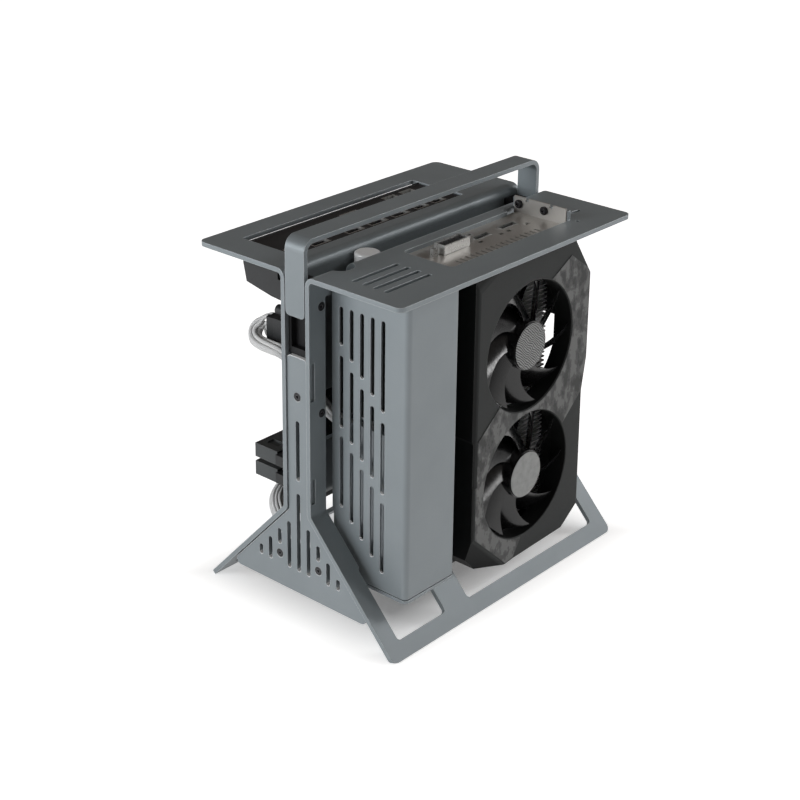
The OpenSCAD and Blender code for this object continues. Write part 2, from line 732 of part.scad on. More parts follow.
// A fan rotor about Z: cup hub, shaft below it and swept blades cut from pitched round shells
module rotor(r_tip, r_hub, depth, blades, count, chord, pitch, sweep, shaft) {
    low = blades[0];
    high = blades[1];
    bend_r = chord * 1.15;
    span = 32;
    // direction of the line from a blade's root to its tip
    lean = atan2(r_tip * sin(sweep), r_tip * cos(sweep) - r_hub);
    difference() {
        union() {
            cylinder(r = r_hub, h = depth - 0.8);
            cylinder(r = r_hub - 0.8, h = depth);
        }
        translate([0, 0, -1]) cylinder(r = r_hub - 1.4, h = depth - 0.6);
    }
    translate([0, 0, -shaft]) cylinder(r = 1.5, h = depth + shaft - 1);
    for (k = [0:count - 1]) rotate(k * 360 / count) intersection() {
        translate([r_hub, 0, (low + high) / 2]) rotate([0, 0, lean]) sideways(-r_hub, 2 * r_tip)
            rotate(pitch) translate([0, -bend_r * cos(span * 0.55)]) ring_sector(bend_r - 1, bend_r, 90 - span, 90 + span);
        translate([0, 0, low]) linear_extrude(high - low)
            blade_outline(r_hub - 0.8, r_tip, sweep, chord * 0.55, chord);
        cylinder(r = r_tip, h = depth);
    }
}

module psu_fan() {
    color([0.07, 0.07, 0.08]) translate([psu_mid_x, fy(psu_mid_y), psu_top - psu_fan_depth - 1.2])
        rotor(psu_fan_r, 8, psu_fan_depth, [0.8, psu_fan_depth - 1], 7, 12, 36, 25, 5);
}

// Sockets and plugs under the power supply, where the two cables start
module psu_plugs() {
    color([0.06, 0.06, 0.07]) for (p = [[29, 12], [49, 22]])
        fbox([p[0] - p[1] / 2, p[0] + p[1] / 2], [36, 46], [psu_low - 6.3, psu_low]);
}

// A box on the board: u from the front edge, v down from the top edge, w off the component face
module on_board(u, v, w) {
    fbox([-board_x - w[1], -board_x - w[0]], [board_front + u[0], board_front + u[1]],
        [board_top - v[1], board_top - v[0]]);
}

// The four board holes; one of the upper pair sits lower, as the board standard has it
module board_hole_spots() {
    for (p = [[hole_edge, hole_rows[0]], [hole_edge + hole_wide, hole_rows[1]],
            [hole_edge, hole_rows[2]], [hole_edge + hole_wide, hole_rows[2]]])
        translate([0, fy(board_front + p[0]), board_top - hole_rear - p[1]]) rotate([0, -90, 0]) children();
}

module motherboard() {
    color([0.05, 0.07, 0.06]) difference() {
        on_board([0, board_size], [0, board_size], [-board_t, 0]);
        board_hole_spots() translate([0, 0, board_x - board_t - 1]) cylinder(h = board_t + 2, d = 3.96);
    }
}

module board_standoffs() {
    color([0.75, 0.62, 0.3]) board_hole_spots() difference() {
        translate([0, 0, wall_out]) cylinder(h = standoff_h, d = 5.8, $fn = 6);
        translate([0, 0, wall_out + standoff_h - 7]) cylinder(h = 8, d = m3_thread);
    }
}

module board_screws() {
    color([0.7, 0.7, 0.72]) board_hole_spots() translate([0, 0, board_x])
        pan_screw(m3, 5.8, 2.2, board_t + 5);
}

// Chokes, capacitors, socket frame and small chips
module board_components() {
    color([0.12, 0.12, 0.13]) {
        for (k = [0:5]) on_board([22 + 10 * k, 30 + 10 * k], [28.6, 36.6], [0, 6.5]);
        for (k = [0:3]) on_board([16, 23], [44 + 10 * k, 52 + 10 * k], [0, 6.5]);
        on_board([58, 118], [47, 109], [0, 3.6]);
        on_board([142, 152], [98, 108], [0, 1.5]);
        on_board([14, 32], [109, 123], [0, 1.2]);
    }
    color([0.2, 0.2, 0.22]) for (p = [[5, 33.5], [144, 48], [144, 58], [144, 68], [150, 120]])
        translate([-board_x, fy(board_front + p[0]), board_top - p[1]]) rotate([0, -90, 0])
            cylinder(h = 9, r = 3.2);
}

// Finned block: count fins of 1 mm across the u direction
module finned(u, v, w, base, count) {
    step = (u[1] - u[0] - 1) / (count - 1);
    on_board(u, v, [w[0], w[0] + base]);
    for (k = [0:count - 1]) on_board([u[0] + k * step, u[0] + k * step + 1], v, [w[0] + base - 0.5, w[1]]);
}

module chipset_heatsink() {
    color([0.15, 0.15, 0.16]) finned([104, 148], [124, 127.5], [0, 12], 3, 12);
}

io_ports = [[10, 20, 2, 10], [28, 43, 1, 16], [59, 74, 1, 16], [80, 96, 1, 29], [102, 117, 1, 16],
    [124, 136, 1, 32.5], [141, 153, 1, 32.5]];

module io_shield() {
    c = 0.4;
    color([0.1, 0.1, 0.11]) difference() {
        union() {
            fbox([-io_x[1] + 5.4, -io_x[0] - c], [io_y[0] + c, io_y[1] - c],
                [frame_height - 1.2 - shield_t, frame_height - 1.2]);
            // rim along the outer side
            fbox([-io_x[1] + 5.4, -io_x[1] + 6], [io_y[0] + c, io_y[1] - c],
                [under_plate - 3, frame_height - 0.5]);
            for (y = [io_y[0] + c, io_y[1] - c - 0.6]) fbox([-io_x[1] + 5.4, -io_x[0] - c], [y, y + 0.6],
                [under_plate - 1, frame_height - 1.2]);
        }
        for (p = io_ports) fbox([-board_x - p[3] - 0.4, -board_x - p[2] + 1.4],
            [board_front + p[0] - 0.4, board_front + p[1] + 0.4], [under_plate - 2, frame_height + 1]);
    }
    // spring lips that bear on the underside of the top plate
    color([0.1, 0.1, 0.11]) for (y = [40, 80, 120, 160])
        fbox([-io_x[1] + 2, -io_x[1] + 5.8], [y, y + 8], [under_plate - 0.8, under_plate - 0.2]);
}

module io_connectors() {
    color([0.7, 0.7, 0.72]) for (p = io_ports) difference() {
        fbox([-board_x - p[3], -board_x - p[2] + 1], [board_front + p[0], board_front + p[1]],
            [board_top - 18, frame_height - 1.4]);
        fbox([-board_x - p[3] + 1, -board_x - p[2]], [board_front + p[0] + 1, board_front + p[1] - 1],
            [board_top - 8, frame_height]);
        fbox([-board_x, -board_x + 2], [board_front, board_front + board_size], [0, frame_height]);
    }
}

// Black plastic in the connectors: tongues and the wide connector's face with its three rows of holes
module port_inserts() {
    color([0.05, 0.05, 0.06]) {
        for (p = io_ports) for (w = [p[2] + 4.5 : 13 : p[3] - 2])
            fbox([-board_x - w - 2, -board_x - w], [board_front + p[0] + 1.5, board_front + p[1] - 1.5],
                [board_top - 8, frame_height - 2.6]);
        difference() {
            fbox([dvi_x[0] + 1, dvi_x[1] - 1], [dvi_y[0] + 1, dvi_y[1] - 1],
                [under_plate - 4, dvi_top - 0.8]);
            for (i = [0:7], j = [0:2])
                fbox([33.2 + 1.9 * j, 34.2 + 1.9 * j], [90.6 + 1.9 * i, 91.6 + 1.9 * i],
                [under_plate, dvi_top]);
            fbox([33, 38.2], [108.2, 108.8], [under_plate, dvi_top]);
            fbox([35.3, 35.9], [106.4, 110.4], [under_plate, dvi_top]);
        }
        for (p = small_ports) fbox([p[0] + 1.8, p[0] + 3.6], [p[2] + 2, p[3] - 2],
            [under_plate - 8, under_plate - 0.5]);
    }
}

// Faceted cover over the connectors, closed towards the front
module io_cover() {
    x0 = board_x + 0.6;
    top = under_plate - 1.1;
    outer = [[-x0, top], [-64, top], [-64.1, top - 11], [-61.4, top - 22.6], [-40, top - 26.9],
        [-x0, top - 28]];
    inner = [[-x0 + 1, top - 1.6], [-61.8, top - 1.6], [-61.8, top - 10.6], [-59.6, top - 20.8],
        [-40, top - 24.8], [-x0 + 1, top - 25.8]];
    color([0.1, 0.11, 0.12]) difference() {
        upright(fy(20), 136) polygon(outer);
        upright(fy(22), 140) polygon(inner);
        // room for the connectors to pass up through the roof
        fbox([-61.5, -x0 + 1], [21.5, 157], [top - 10, under_plate + 1]);
        // clear of the upper board hole's screw
        translate([-x0, fy(board_front + hole_edge), board_top - hole_rear]) rotate([0, -90, 0])
            cylinder(h = 8, r = 4.2);
    }
}

module eps_plug() {
    color([0.07, 0.07, 0.08]) {
        on_board([0.6, 10.4], [38.2, 55.8], [0, 9]);
        on_board([1.1, 9.9], [38.8, 55.2], [8.9, 15.5]);
        on_board([9.9, 11.6], [44, 50], [5, 14]);
    }
}

module atx_plug() {
    color([0.07, 0.07, 0.08]) {
        on_board([22, 76], [board_size - 10.8, board_size - 1.2], [0, 9]);
        on_board([22.6, 75.4], [board_size - 10.2, board_size - 1.8], [8.9, 16]);
        on_board([46, 52], [board_size - 12.4, board_size - 10.1], [5, 14]);
    }
}

// Catmull-Rom point between the second and third of four points
function spline4(a, b, c, d, t) = 0.5 * (2 * b + (c - a) * t + (2 * a - 5 * b + 4 * c - d) * t * t
    + (3 * b - a - 3 * c + d) * t * t * t);
function at(p, i) = p[max(0, min(len(p) - 1, i))];
function smooth(p, n) = concat([for (i = [0:len(p) - 2], s = [0:n - 1])
    spline4(at(p, i - 1), p[i], p[i + 1], at(p, i + 2), s / n)], [p[len(p) - 1]]);
function unit(v) = v / norm(v);
function heading(p, i) = unit(at(p, i + 1) - at(p, i - 1));
// Side vector carried along the route without twisting
function carried(p, i) = i == 0 ? unit(cross(heading(p, 0), [0, 0.3, 1]))
    : let (v = carried(p, i - 1), h = heading(p, i)) unit(v - (v * h) * h);

// Round cable along a route
module cable(route, d, sides, n) {
    p = smooth([for (q = route) [q[0], fy(q[1]), q[2]]], n);
    count = len(p);
    rings = [for (i = [0:count - 1]) let (h = heading(p, i), a = carried(p, i), b = cross(h, a))
        for (k = [0:sides - 1]) p[i] + d / 2 * (cos(k * 360 / sides) * a + sin(k * 360 / sides) * b)];
    skin = [for (i = [0:count - 2], k = [0:sides - 1]) let (m = (k + 1) % sides)
        [i * sides + k, i * sides + m, (i + 1) * sides + m, (i + 1) * sides + k]];
    first = [for (k = [0:sides - 1]) sides - 1 - k];
    last = [for (k = [0:sides - 1]) (count - 1) * sides + k];
    polyhedron(points = rings, faces = concat([first], skin, [last]), convexity = 6);
}

module eps_cable() {
    color([0.93, 0.93, 0.93]) cable(eps_route, eps_d, 10, 2);
}

module atx_cable() {
    color([0.93, 0.93, 0.93]) cable(atx_route, atx_d, 10, 2);
}

cooler_u = 88;
cooler_v = 78;

module cooler_heatsink() {
    h = cooler_fan / 2 - 2;
    color([0.72, 0.72, 0.74]) {
        on_board([cooler_u - 20, cooler_u + 20], [cooler_v - 20, cooler_v + 20], [3.6, 9.5]);
        finned([cooler_u - h, cooler_u + h], [cooler_v - h, cooler_v + h], [9, 26], 2, 30);
    }
}

module cooler_fan_frame() {
    s = cooler_fan / 2;
    color([0.08, 0.08, 0.09]) translate([-board_x - 26, fy(board_front + cooler_u), board_top - cooler_v])
        rotate([0, -90, 0]) {
            difference() {
                linear_extrude(15) rrect(2 * s, 2 * s, 4);
                translate([0, 0, -1]) cylinder(r = s - 2, h = 17);
                for (x = [-1, 1], y = [-1, 1]) translate([x * (s - 4.2), y * (s - 4.2), -1])
                    cylinder(h = 17, r = 2.2);
            }
            difference() {
                union() {
                    cylinder(r = 13, h = 3);
                    cylinder(r = 4, h = 8);
                    for (k = [0:3]) rotate(45 + 90 * k) translate([0, -1.5, 0]) cube([s - 1, 3, 2.5]);
                }
                translate([0, 0, 1.5]) cylinder(r = 1.5 + run, h = 10);
            }
        }
}

module cooler_fan_rotor() {
    color([0.1, 0.1, 0.11]) translate([-board_x - 26 - 4, fy(board_front + cooler_u), board_top - cooler_v])
        rotate([0, -90, 0]) rotor(cooler_fan / 2 - 3, 15, 10.5, [0.6, 10], 9, 21, 30, 30, 1.8);
}

memory_v = [[board_size - 40.5, board_size - 31], [board_size - 28, board_size - 18.5]];

module memory_slots() {
    color([0.08, 0.08, 0.09]) for (v = memory_v) difference() {
        on_board([0.6, 144], [v[0] + 1.2, v[1] - 1.2], [0, 9]);
        on_board([4.2, 140.4], [(v[0] + v[1]) / 2 - 1.2, (v[0] + v[1]) / 2 + 1.2], [4, 10]);
    }
}

// Memory modules: board with a faceted heat spreader on both faces
module memory_modules() {
    for (v = memory_v) {
        m = (v[0] + v[1]) / 2;
        color([0.05, 0.1, 0.06]) on_board([4.5, 137.9], [m - 0.6, m + 0.6], [4.3, 27]);
        color([0.13, 0.13, 0.13]) difference() {
            on_board([2.5, 139.5], v, [9.3, 29]);
            on_board([4, 138], [m - 0.65, m + 0.65], [9, 27.3]);
            for (k = [0:8]) on_board([8 + 14.5 * k, 14 + 14.5 * k], [v[0] - 1, v[0] + 1], [14, 24]);
            for (k = [0:6]) on_board([15 + 18 * k, 24 + 18 * k], [v[0] + 2, v[1] - 2], [28, 30]);
        }
    }
}

riser_u = [board_size - 15.5, board_size - 8];
riser_v = [46, 135];

module pcie_slot() {
    color([0.1, 0.1, 0.11]) difference() {
        on_board(riser_u, riser_v, [0, 11]);
        on_board([riser_u[0] + 2.7, riser_u[0] + 4.8], [riser_v[0] + 2, riser_v[1] - 2], [3, 12]);
    }
}

// Blade of the riser in the board's slot, with its moulded head
module riser_plug() {
    color([0.04, 0.04, 0.05]) {
        on_board([riser_u[0] + 3, riser_u[0] + 4.5], [riser_v[0] + 2.5, riser_v[1] - 2.5], [3.4, 12]);
        on_board([riser_u[0] - 0.5, riser_u[1] + 0.5], [riser_v[0], riser_v[1]], [11.4, 19]);
    }
}

ribbon_z = [board_top - riser_v[1] + 4.5, board_top - riser_v[0] - 4.5];
ribbon_t = 1.2;

// Flat ribbon round the rear edge of the board and through both walls
module riser_ribbon() {
    t = ribbon_t;
    xa = -board_x - 15.8;
    ya = fy(board_front + riser_u[1] + 0.5);
    yb = fy(frame_length - 27.5);
    xb = 18.4;
    yc = fy(card_body_y - 9);
    r = 5;
    color([0.07, 0.07, 0.08]) translate([0, 0, ribbon_z[0]]) linear_extrude(ribbon_z[1] - ribbon_z[0]) {
        translate([xa, ya]) square([t, yb - r - ya]);
        translate([xa + r, yb - r]) ring_sector(r - t, r, 90, 180);
        translate([xa + r, yb - t]) square([xb - xa - 2 * r, t]);
        translate([xb - r, yb - r]) ring_sector(r - t, r, 0, 90);
        translate([xb - t, yc]) square([t, yb - r - yc]);
    }
}

socket_z = [under_plate - 135.6, under_plate - 45.6];

// Card-edge socket on its own small board
module riser_socket() {
    z0 = socket_z[0];
    z1 = socket_z[1];
    mid = card_pcb_x + card_pcb_t / 2;
    color([0.05, 0.06, 0.08]) fbox([16.5, 33], [card_body_y - 13, card_body_y - 11.4], [z0 - 4, z1 + 4]);
    color([0.06, 0.06, 0.07]) difference() {
        fbox([mid - 3.8, mid + 3.8], [card_body_y - 11.4, card_body_y - 0.4], [z0, z1]);
        fbox([mid - 1, mid + 1], [finger_y - 1, card_body_y], [z0 + 1.5, z1 - 1.5]);
    }
    color([0.06, 0.06, 0.07])
        fbox([16.5, 20.5], [card_body_y - 11.4, card_body_y - 9], [ribbon_z[0] - 1, ribbon_z[1] + 1]);
}

// Angle on the right wall that carries the riser's socket
module riser_bracket() {
    y = card_body_y - 13;
    color([0.3, 0.31, 0.33])
        for (z = [[socket_z[0] - 6, socket_z[0] + 4], [socket_z[1] - 4, socket_z[1] + 6]]) {
        fbox([wall_out, wall_out + 1.2], [y - 1.2, y + 9], z);
        fbox([wall_out, 33], [y - 1.2, y], z);
    }
}

module gpu_bracket() {
    x = [20.6, 62.4];
    z = [under_plate - bracket_t, under_plate];
    f = fy(card_flange);
    color([0.78, 0.76, 0.72]) difference() {
        union() {
            fbox(x, [card_front - 1.5, card_flange], z);
            // tongue at the front end
            fbox([24, 34], [card_front - 5.4, card_front], z);
            fbox([45, 55], [card_front - 5.4, card_front], z);
            // flange with the two screws
            box([19, 60.2], [f - bracket_t, f], [z[0], frame_height + flange_rise]);
        }
        for (xs = flange_screw_x) translate([xs, f - 2, flange_screw_z]) rotate([-90, 0, 0])
            cylinder(h = 4, d = m3_clear);
        // small notches in the flange's upper edge
        for (xs = [29.2, 48.4]) box([xs - 1.3, xs + 1.3], [f - 2, f + 1],
            [frame_height + flange_rise - 2.4, frame_height + flange_rise + 1]);
        // row of exhaust slots along the outer edge
        for (k = [0:16]) translate([53.8, fy(86 + 4.86 * k), z[0] - 1]) rotate(90)
            linear_extrude(4) slot2d(1.7, 8);
        // openings for the connectors
        fbox([dvi_x[0] - 0.3, dvi_x[1] + 0.3], [dvi_y[0] - 0.3, dvi_y[1] + 0.3], [z[0] - 1, z[1] + 1]);
        for (y = dvi_posts) translate([post_x, fy(y), z[0] - 1]) cylinder(h = 4, r = 2);
        for (p = small_ports) fbox([p[0] - 0.3, p[1] + 0.3], [p[2] - 0.3, p[3] + 0.3], [z[0] - 1, z[1] + 1]);
        for (p = [[38.9, 120.5], [38.9, 141.2], [38.9, 148.8], [38.9, 167.4]])
            fbox([p[0], p[0] + 2.6], [p[1], p[1] + 3.6], [z[0] - 1, z[1] + 1]);
    }
}

post_x = 35.5;
dvi_x = [31.2, 39.8];
dvi_y = [88.4, 112.4];
dvi_top = under_plate + 6.2;
small_ports = [[31.3, 36.7, 123.3, 138.3], [30.8, 36.2, 149.7, 165.3]];
dvi_mid = 100.4;
dvi_spacing = 33.3;
post_bore = 1.13;
dvi_posts = [dvi_mid - dvi_spacing / 2, dvi_mid + dvi_spacing / 2];

module gpu_bracket_screws() {
    color([0.12, 0.12, 0.13]) for (x = flange_screw_x)
        translate([x, fy(card_flange) - bracket_t, flange_screw_z]) rotate([90, 0, 0])
            pan_screw(m3, 5.6, 2.2, bracket_t + sheet + 1.5);
}

module display_connectors() {
    z0 = under_plate - 13;
    pcb = card_pcb_x + card_pcb_t;
    color([0.75, 0.75, 0.76]) {
        // shell of the wide connector, its foot on the card's board
        difference() {
            fbox(dvi_x, dvi_y, [z0, dvi_top]);
            fbox([dvi_x[0] + 0.8, dvi_x[1] - 0.8], [dvi_y[0] + 0.8, dvi_y[1] - 0.8],
                [under_plate - 4, dvi_top + 1]);
        }
        fbox([pcb, dvi_x[0] + 0.4], [dvi_y[0] + 1.6, dvi_y[1] - 1.4], [z0, z0 + 11]);
        // two threaded posts
        for (y = dvi_posts) difference() {
            union() {
                translate([post_x, fy(y), under_plate]) cylinder(h = 5, d = 5.4, $fn = 6);
                translate([post_x, fy(y), z0]) cylinder(h = 13.5, r = 1.8);
                fbox([pcb, post_x - 1], [y - 2.5, y + 2.5], [z0, z0 + 6]);
            }
            translate([post_x, fy(y), under_plate - 4]) cylinder(h = 10, r = post_bore);
        }
        for (p = small_ports) {
            difference() {
                fbox([p[0], p[1]], [p[2], p[3]], [z0, under_plate + 0.3]);
                fbox([p[0] + 0.6, p[1] - 0.6], [p[2] + 0.6, p[3] - 0.6], [under_plate - 8, under_plate + 1]);
            }
            fbox([pcb, p[0] + 0.4], [p[2] + 0.7, p[3] - 0.7], [z0, z0 + 11]);
        }
    }
}

module gpu_board() {
    color([0.05, 0.06, 0.06]) {
        fbox([card_pcb_x, card_pcb_x + card_pcb_t], [card_body_y, 178],
            [card_pcb_low, under_plate - bracket_t - 0.2]);
        for (z = [[socket_z[0] + 1.8, socket_z[1] - 14], [socket_z[1] - 12, socket_z[1] - 1.8]])
            fbox([card_pcb_x, card_pcb_x + card_pcb_t], [finger_y, card_body_y + 1], z);
    }
}

module gpu_backplate() {
    color([0.12, 0.12, 0.13]) difference() {
        fbox([24.4, card_pcb_x], [card_body_y + 1, 190], [card_pcb_low, under_plate - bracket_t - 1]);
        fbox([25.6, card_pcb_x + 1], [card_body_y + 3, 188],
            [card_pcb_low + 2, under_plate - bracket_t - 3]);
        for (k = [0:5]) translate([0, fy(110 + 12 * k), card_pcb_low + 22]) sideways(20, 10) slot2d(4, 30);
    }
    // pillars between the plate and the card's board
    color([0.12, 0.12, 0.13])
        for (y = [96, 170], z = [card_pcb_low + 14, card_pcb_low + 88, card_pcb_low + 150])
        translate([25, fy(y), z]) rotate([0, 90, 0]) cylinder(h = card_pcb_x - 25, r = 2);
}

fin_pitch = 3;
fin_y = [88, 180.5];
fin_z = [card_low + 9.4, under_plate - 13.6];

module gpu_heatsink() {
    n = floor((fin_z[1] - fin_z[0]) / fin_pitch);
    color([0.78, 0.78, 0.8]) {
        // contact block on the chip and the base that joins the fins
        fbox([card_pcb_x + card_pcb_t, 33], [112, 152], [under_plate - 99.6, under_plate - 59.6]);
        fbox([32.5, 34.5], [fin_y[0], fin_y[1] - 2], fin_z);
        for (k = [0:n]) fbox([34, 50], fin_y, [fin_z[0] + k * fin_pitch, fin_z[0] + k * fin_pitch + 0.9]);
        for (y = [100, 124, 148, 172]) translate([38, fy(y), fin_z[0]])
            cylinder(h = fin_z[1] - fin_z[0], r = 3);
    }
}

// Corners of the shroud seen from the right, distances from the front edge and heights
shroud_top = card_top - 2.7;
shroud_corners = [[shroud_y[0], shroud_top], [178, shroud_top], [shroud_y[1], shroud_top - 29],
    [shroud_y[1], shroud_top - 87.5], [193, shroud_top - 111], [193.8, card_low + 9.4],
    [177.4, card_low - 2.6], [125.7, card_low - 4.1], [117, card_low - 5], [92, card_low],
    [shroud_y[0] + 0.8, card_low + 10],
    [shroud_y[0] + 0.8, shroud_top - 111], [shroud_y[0], shroud_top - 109]];
// Ends of the corner facets on the face: lower front and upper front
low_facet = [[84.7, card_low + 26], [116.9, card_low - 5]];
high_facet = [[103, shroud_top - 5.6], [85.8, shroud_top - 14.5]];

// The outline drawn in by about d towards the middle of the shroud
module shroud_outline(d) {
    mid = [(shroud_y[0] + shroud_y[1]) / 2, (shroud_top + card_low) / 2];
    span = [shroud_y[1] - shroud_y[0], shroud_top - card_low];
    polygon([for (p = shroud_corners) [fy(mid[0] + (p[0] - mid[0]) * (1 - 2 * d / span[0])),
        mid[1] + (p[1] - mid[1]) * (1 - 2 * d / span[1])]]);
}

// What a facet takes away: it starts on the line from a to b and falls back by the angle, d mm further in
module facet_cut(a, b, angle, d) {
    u = [b[0] - a[0], b[1] - a[1]];
    translate([card_face - d, fy(a[0]), a[1]]) rotate([atan2(-u[0], u[1]), 0, 0]) rotate([0, 0, angle])
        translate([0, -3, -30]) cube([30, 70, norm(u) + 60]);
}

module fan_axes() {
    for (k = [0, 1]) translate([0, fy(fan_y), fan_top_z - k * fan_pitch]) rotate([0, 90, 0]) children();
}

// Raised band that crosses the face from the upper rear corner to the lower front corner
module shroud_band() {
    t = shroud_top;
    polygon([for (p = [[150, t - 28], [155, t - 22.5], [175.4, t - 11.4], [192.5, t - 23.9],
        [195.8, t - 29.5], [196, t - 87.4], [192.2, t - 110.4], [173.4, t - 127], [fan_y, t - 151], [131.9, card_low + 7.7],
        [124.8, card_low - 2.9], [116.9, card_low - 4], [84.7, card_low + 26], [84, t - 111.5],
        [106.2, t - 93.3], [fan_y, t - 62]]) [fy(p[0]), p[1]]]);
}

// The facets of the shroud's front edge, d mm inside the outer skin
module shroud_facets(d) {
    facet_cut(low_facet[0], low_facet[1], 24, d);
    facet_cut(high_facet[0], high_facet[1], 10, d);
    facet_cut([86, shroud_top], [86, shroud_top - 111], 26, d);
    facet_cut([84.4, shroud_top - 100], [84.4, card_low], 40, d);
}

module gpu_shroud() {
    face = card_face;
    color([0.16, 0.17, 0.17]) difference() {
        union() {
            sideways(shroud_back, face - band_rise - shroud_back) shroud_outline(0);
            intersection() {
                sideways(face - 1, 1) shroud_band();
                sideways(face - 2, 3) shroud_outline(0.6);
            }
        }
        shroud_facets(0);
        difference() {
            sideways(shroud_back - 1, face - shroud_back + 1 - shroud_wall) shroud_outline(shroud_wall);
            shroud_facets(shroud_wall);
        }
        fan_axes() {
            cylinder(r = fan_open_r, h = face + 2);
            translate([0, 0, face - 0.8]) cylinder(r1 = fan_open_r, r2 = fan_open_r + 1, h = 1);
        }
    }
    // skirt that closes the front side down to the card's board
    color([0.08, 0.08, 0.09]) fbox([32.4, shroud_back + 0.4], [shroud_y[0] + 1.2, shroud_y[0] + 2.7],
        [card_low + 14, shroud_top - 24]);
    // duct round each fan
    color([0.08, 0.08, 0.09]) fan_axes() translate([0, 0, face - 13]) difference() {
        cylinder(r = fan_open_r + 1.4, h = 11.4);
        translate([0, 0, -1]) cylinder(r = fan_open_r, h = 14);
    }
}

// Round plates with arms that carry the fans behind the shroud
module gpu_fan_mounts() {
    color([0.07, 0.07, 0.08]) fan_axes() {
        difference() {
            union() {
                translate([0, 0, 50.3]) cylinder(r = 14, h = 2.5);
                translate([0, 0, 50.3]) cylinder(r = 4, h = 6);
                for (k = [0:2]) rotate(30 + 120 * k) translate([0, -2, 50.3]) cube([fan_open_r + 1.4, 4, 2]);
            }
            translate([0, 0, 49]) cylinder(r = 1.5 + run, h = 9);
        }
        for (k = [0:2]) rotate(30 + 120 * k) translate([fan_open_r - 1, -2, 50.3])
            cube([2.4, 4, card_face - 13 - 50.3]);
    }
}

module card_fan(k) {
    depth = card_face - 0.5 - 54;
    translate([54, fy(fan_y), fan_top_z - k * fan_pitch]) rotate([0, 90, 0])
        rotor(fan_open_r - blade_gap, hub_r, depth, [1, depth - 2], card_blades, 27, 38, 36, 2.5);
}

module gpu_fan_upper() {
    color([0.07, 0.07, 0.08]) card_fan(0);
}

module gpu_fan_lower() {
    color([0.07, 0.07, 0.08]) card_fan(1);
}

left_frame();
right_frame();
front_end_plate();
rear_end_plate();
front_guide_block();
rear_guide_block();
front_cross_bar();
rear_cross_bar();
end_plate_screws();
wall_screws();
handle();
handle_slides();
button_bracket();
power_button();
button_switch();
psu_cover();
psu_cover_base();
power_supply();
psu_core();
psu_inlet();
psu_fan();
psu_plugs();
motherboard();
board_standoffs();
board_screws();
board_components();
chipset_heatsink();
io_shield();
io_connectors();
port_inserts();
io_cover();
eps_plug();
atx_plug();
eps_cable();
atx_cable();
cooler_heatsink();
cooler_fan_frame();
cooler_fan_rotor();
memory_slots();
memory_modules();
pcie_slot();
riser_plug();
riser_ribbon();
riser_socket();
riser_bracket();
gpu_bracket();
gpu_bracket_screws();
display_connectors();
gpu_board();
gpu_backplate();
gpu_heatsink();
gpu_shroud();
gpu_fan_mounts();
gpu_fan_upper();
gpu_fan_lower();
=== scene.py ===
import json
import math
import random

import bmesh
import bpy
from mathutils import Matrix, Vector
from mathutils.bvhtree import BVHTree


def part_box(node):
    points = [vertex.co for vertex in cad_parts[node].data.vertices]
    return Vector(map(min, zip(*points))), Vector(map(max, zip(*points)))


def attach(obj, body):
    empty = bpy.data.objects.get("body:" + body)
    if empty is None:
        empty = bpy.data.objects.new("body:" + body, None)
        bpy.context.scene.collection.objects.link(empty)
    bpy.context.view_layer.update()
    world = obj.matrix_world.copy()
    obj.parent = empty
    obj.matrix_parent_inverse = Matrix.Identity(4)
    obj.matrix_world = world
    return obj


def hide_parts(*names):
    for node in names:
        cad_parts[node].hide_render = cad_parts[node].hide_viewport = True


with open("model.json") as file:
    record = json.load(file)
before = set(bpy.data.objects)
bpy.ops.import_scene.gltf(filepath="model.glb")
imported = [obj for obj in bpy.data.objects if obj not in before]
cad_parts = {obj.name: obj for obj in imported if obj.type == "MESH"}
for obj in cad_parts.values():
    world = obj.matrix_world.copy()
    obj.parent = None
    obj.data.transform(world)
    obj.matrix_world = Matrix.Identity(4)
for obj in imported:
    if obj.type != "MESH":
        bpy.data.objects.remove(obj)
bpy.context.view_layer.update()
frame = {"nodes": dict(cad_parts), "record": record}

# Looks of the open-frame case. Metres, +Z up, front at -Y. Names that end in _mm or _MM hold
# millimetres, and a depth is millimetres behind the frame's front plane, as in part.scad.
nodes = frame["nodes"]
scene = bpy.context.scene
MM = 0.001
FRONT_MM = 112          # from the front plane to the origin


# Node helpers: each returns an output socket

def new_material(name):
    material = bpy.data.materials.new(name)
    material.use_nodes = True
    nt = material.node_tree
    nt.nodes.clear()
    out = nt.nodes.new("ShaderNodeOutputMaterial")
    bsdf = nt.nodes.new("ShaderNodeBsdfPrincipled")
    nt.links.new(bsdf.outputs[0], out.inputs[0])
    return material, nt, bsdf


def node(nt, kind, **props):
    made = nt.nodes.new(kind)
    for key, value in props.items():
        setattr(made, key, value)
    return made


def position(nt):
    return node(nt, "ShaderNodeTexCoord").outputs["Object"]


def mapped(nt, vec, scale):
    mapping = node(nt, "ShaderNodeMapping")
    mapping.inputs["Scale"].default_value = scale
    nt.links.new(vec, mapping.inputs["Vector"])
    return mapping.outputs[0]


def noise(nt, vec, scale, detail=3.0, rough=0.55):
    texture = node(nt, "ShaderNodeTexNoise")
    texture.inputs["Scale"].default_value = scale
    texture.inputs["Detail"].default_value = detail
    texture.inputs["Roughness"].default_value = rough
    nt.links.new(vec, texture.inputs["Vector"])
    return texture.outputs["Fac"]


def ramp(nt, fac, stops):
    """A colour ramp from (position, (r, g, b)) stops."""
    made = node(nt, "ShaderNodeValToRGB")
    elements = made.color_ramp.elements
    while len(elements) < len(stops):
        elements.new(0.5)
    for element, (at, colour) in zip(elements, stops):
        element.position = at
        element.color = (*colour, 1)
    nt.links.new(fac, made.inputs[0])
    return made.outputs[0]


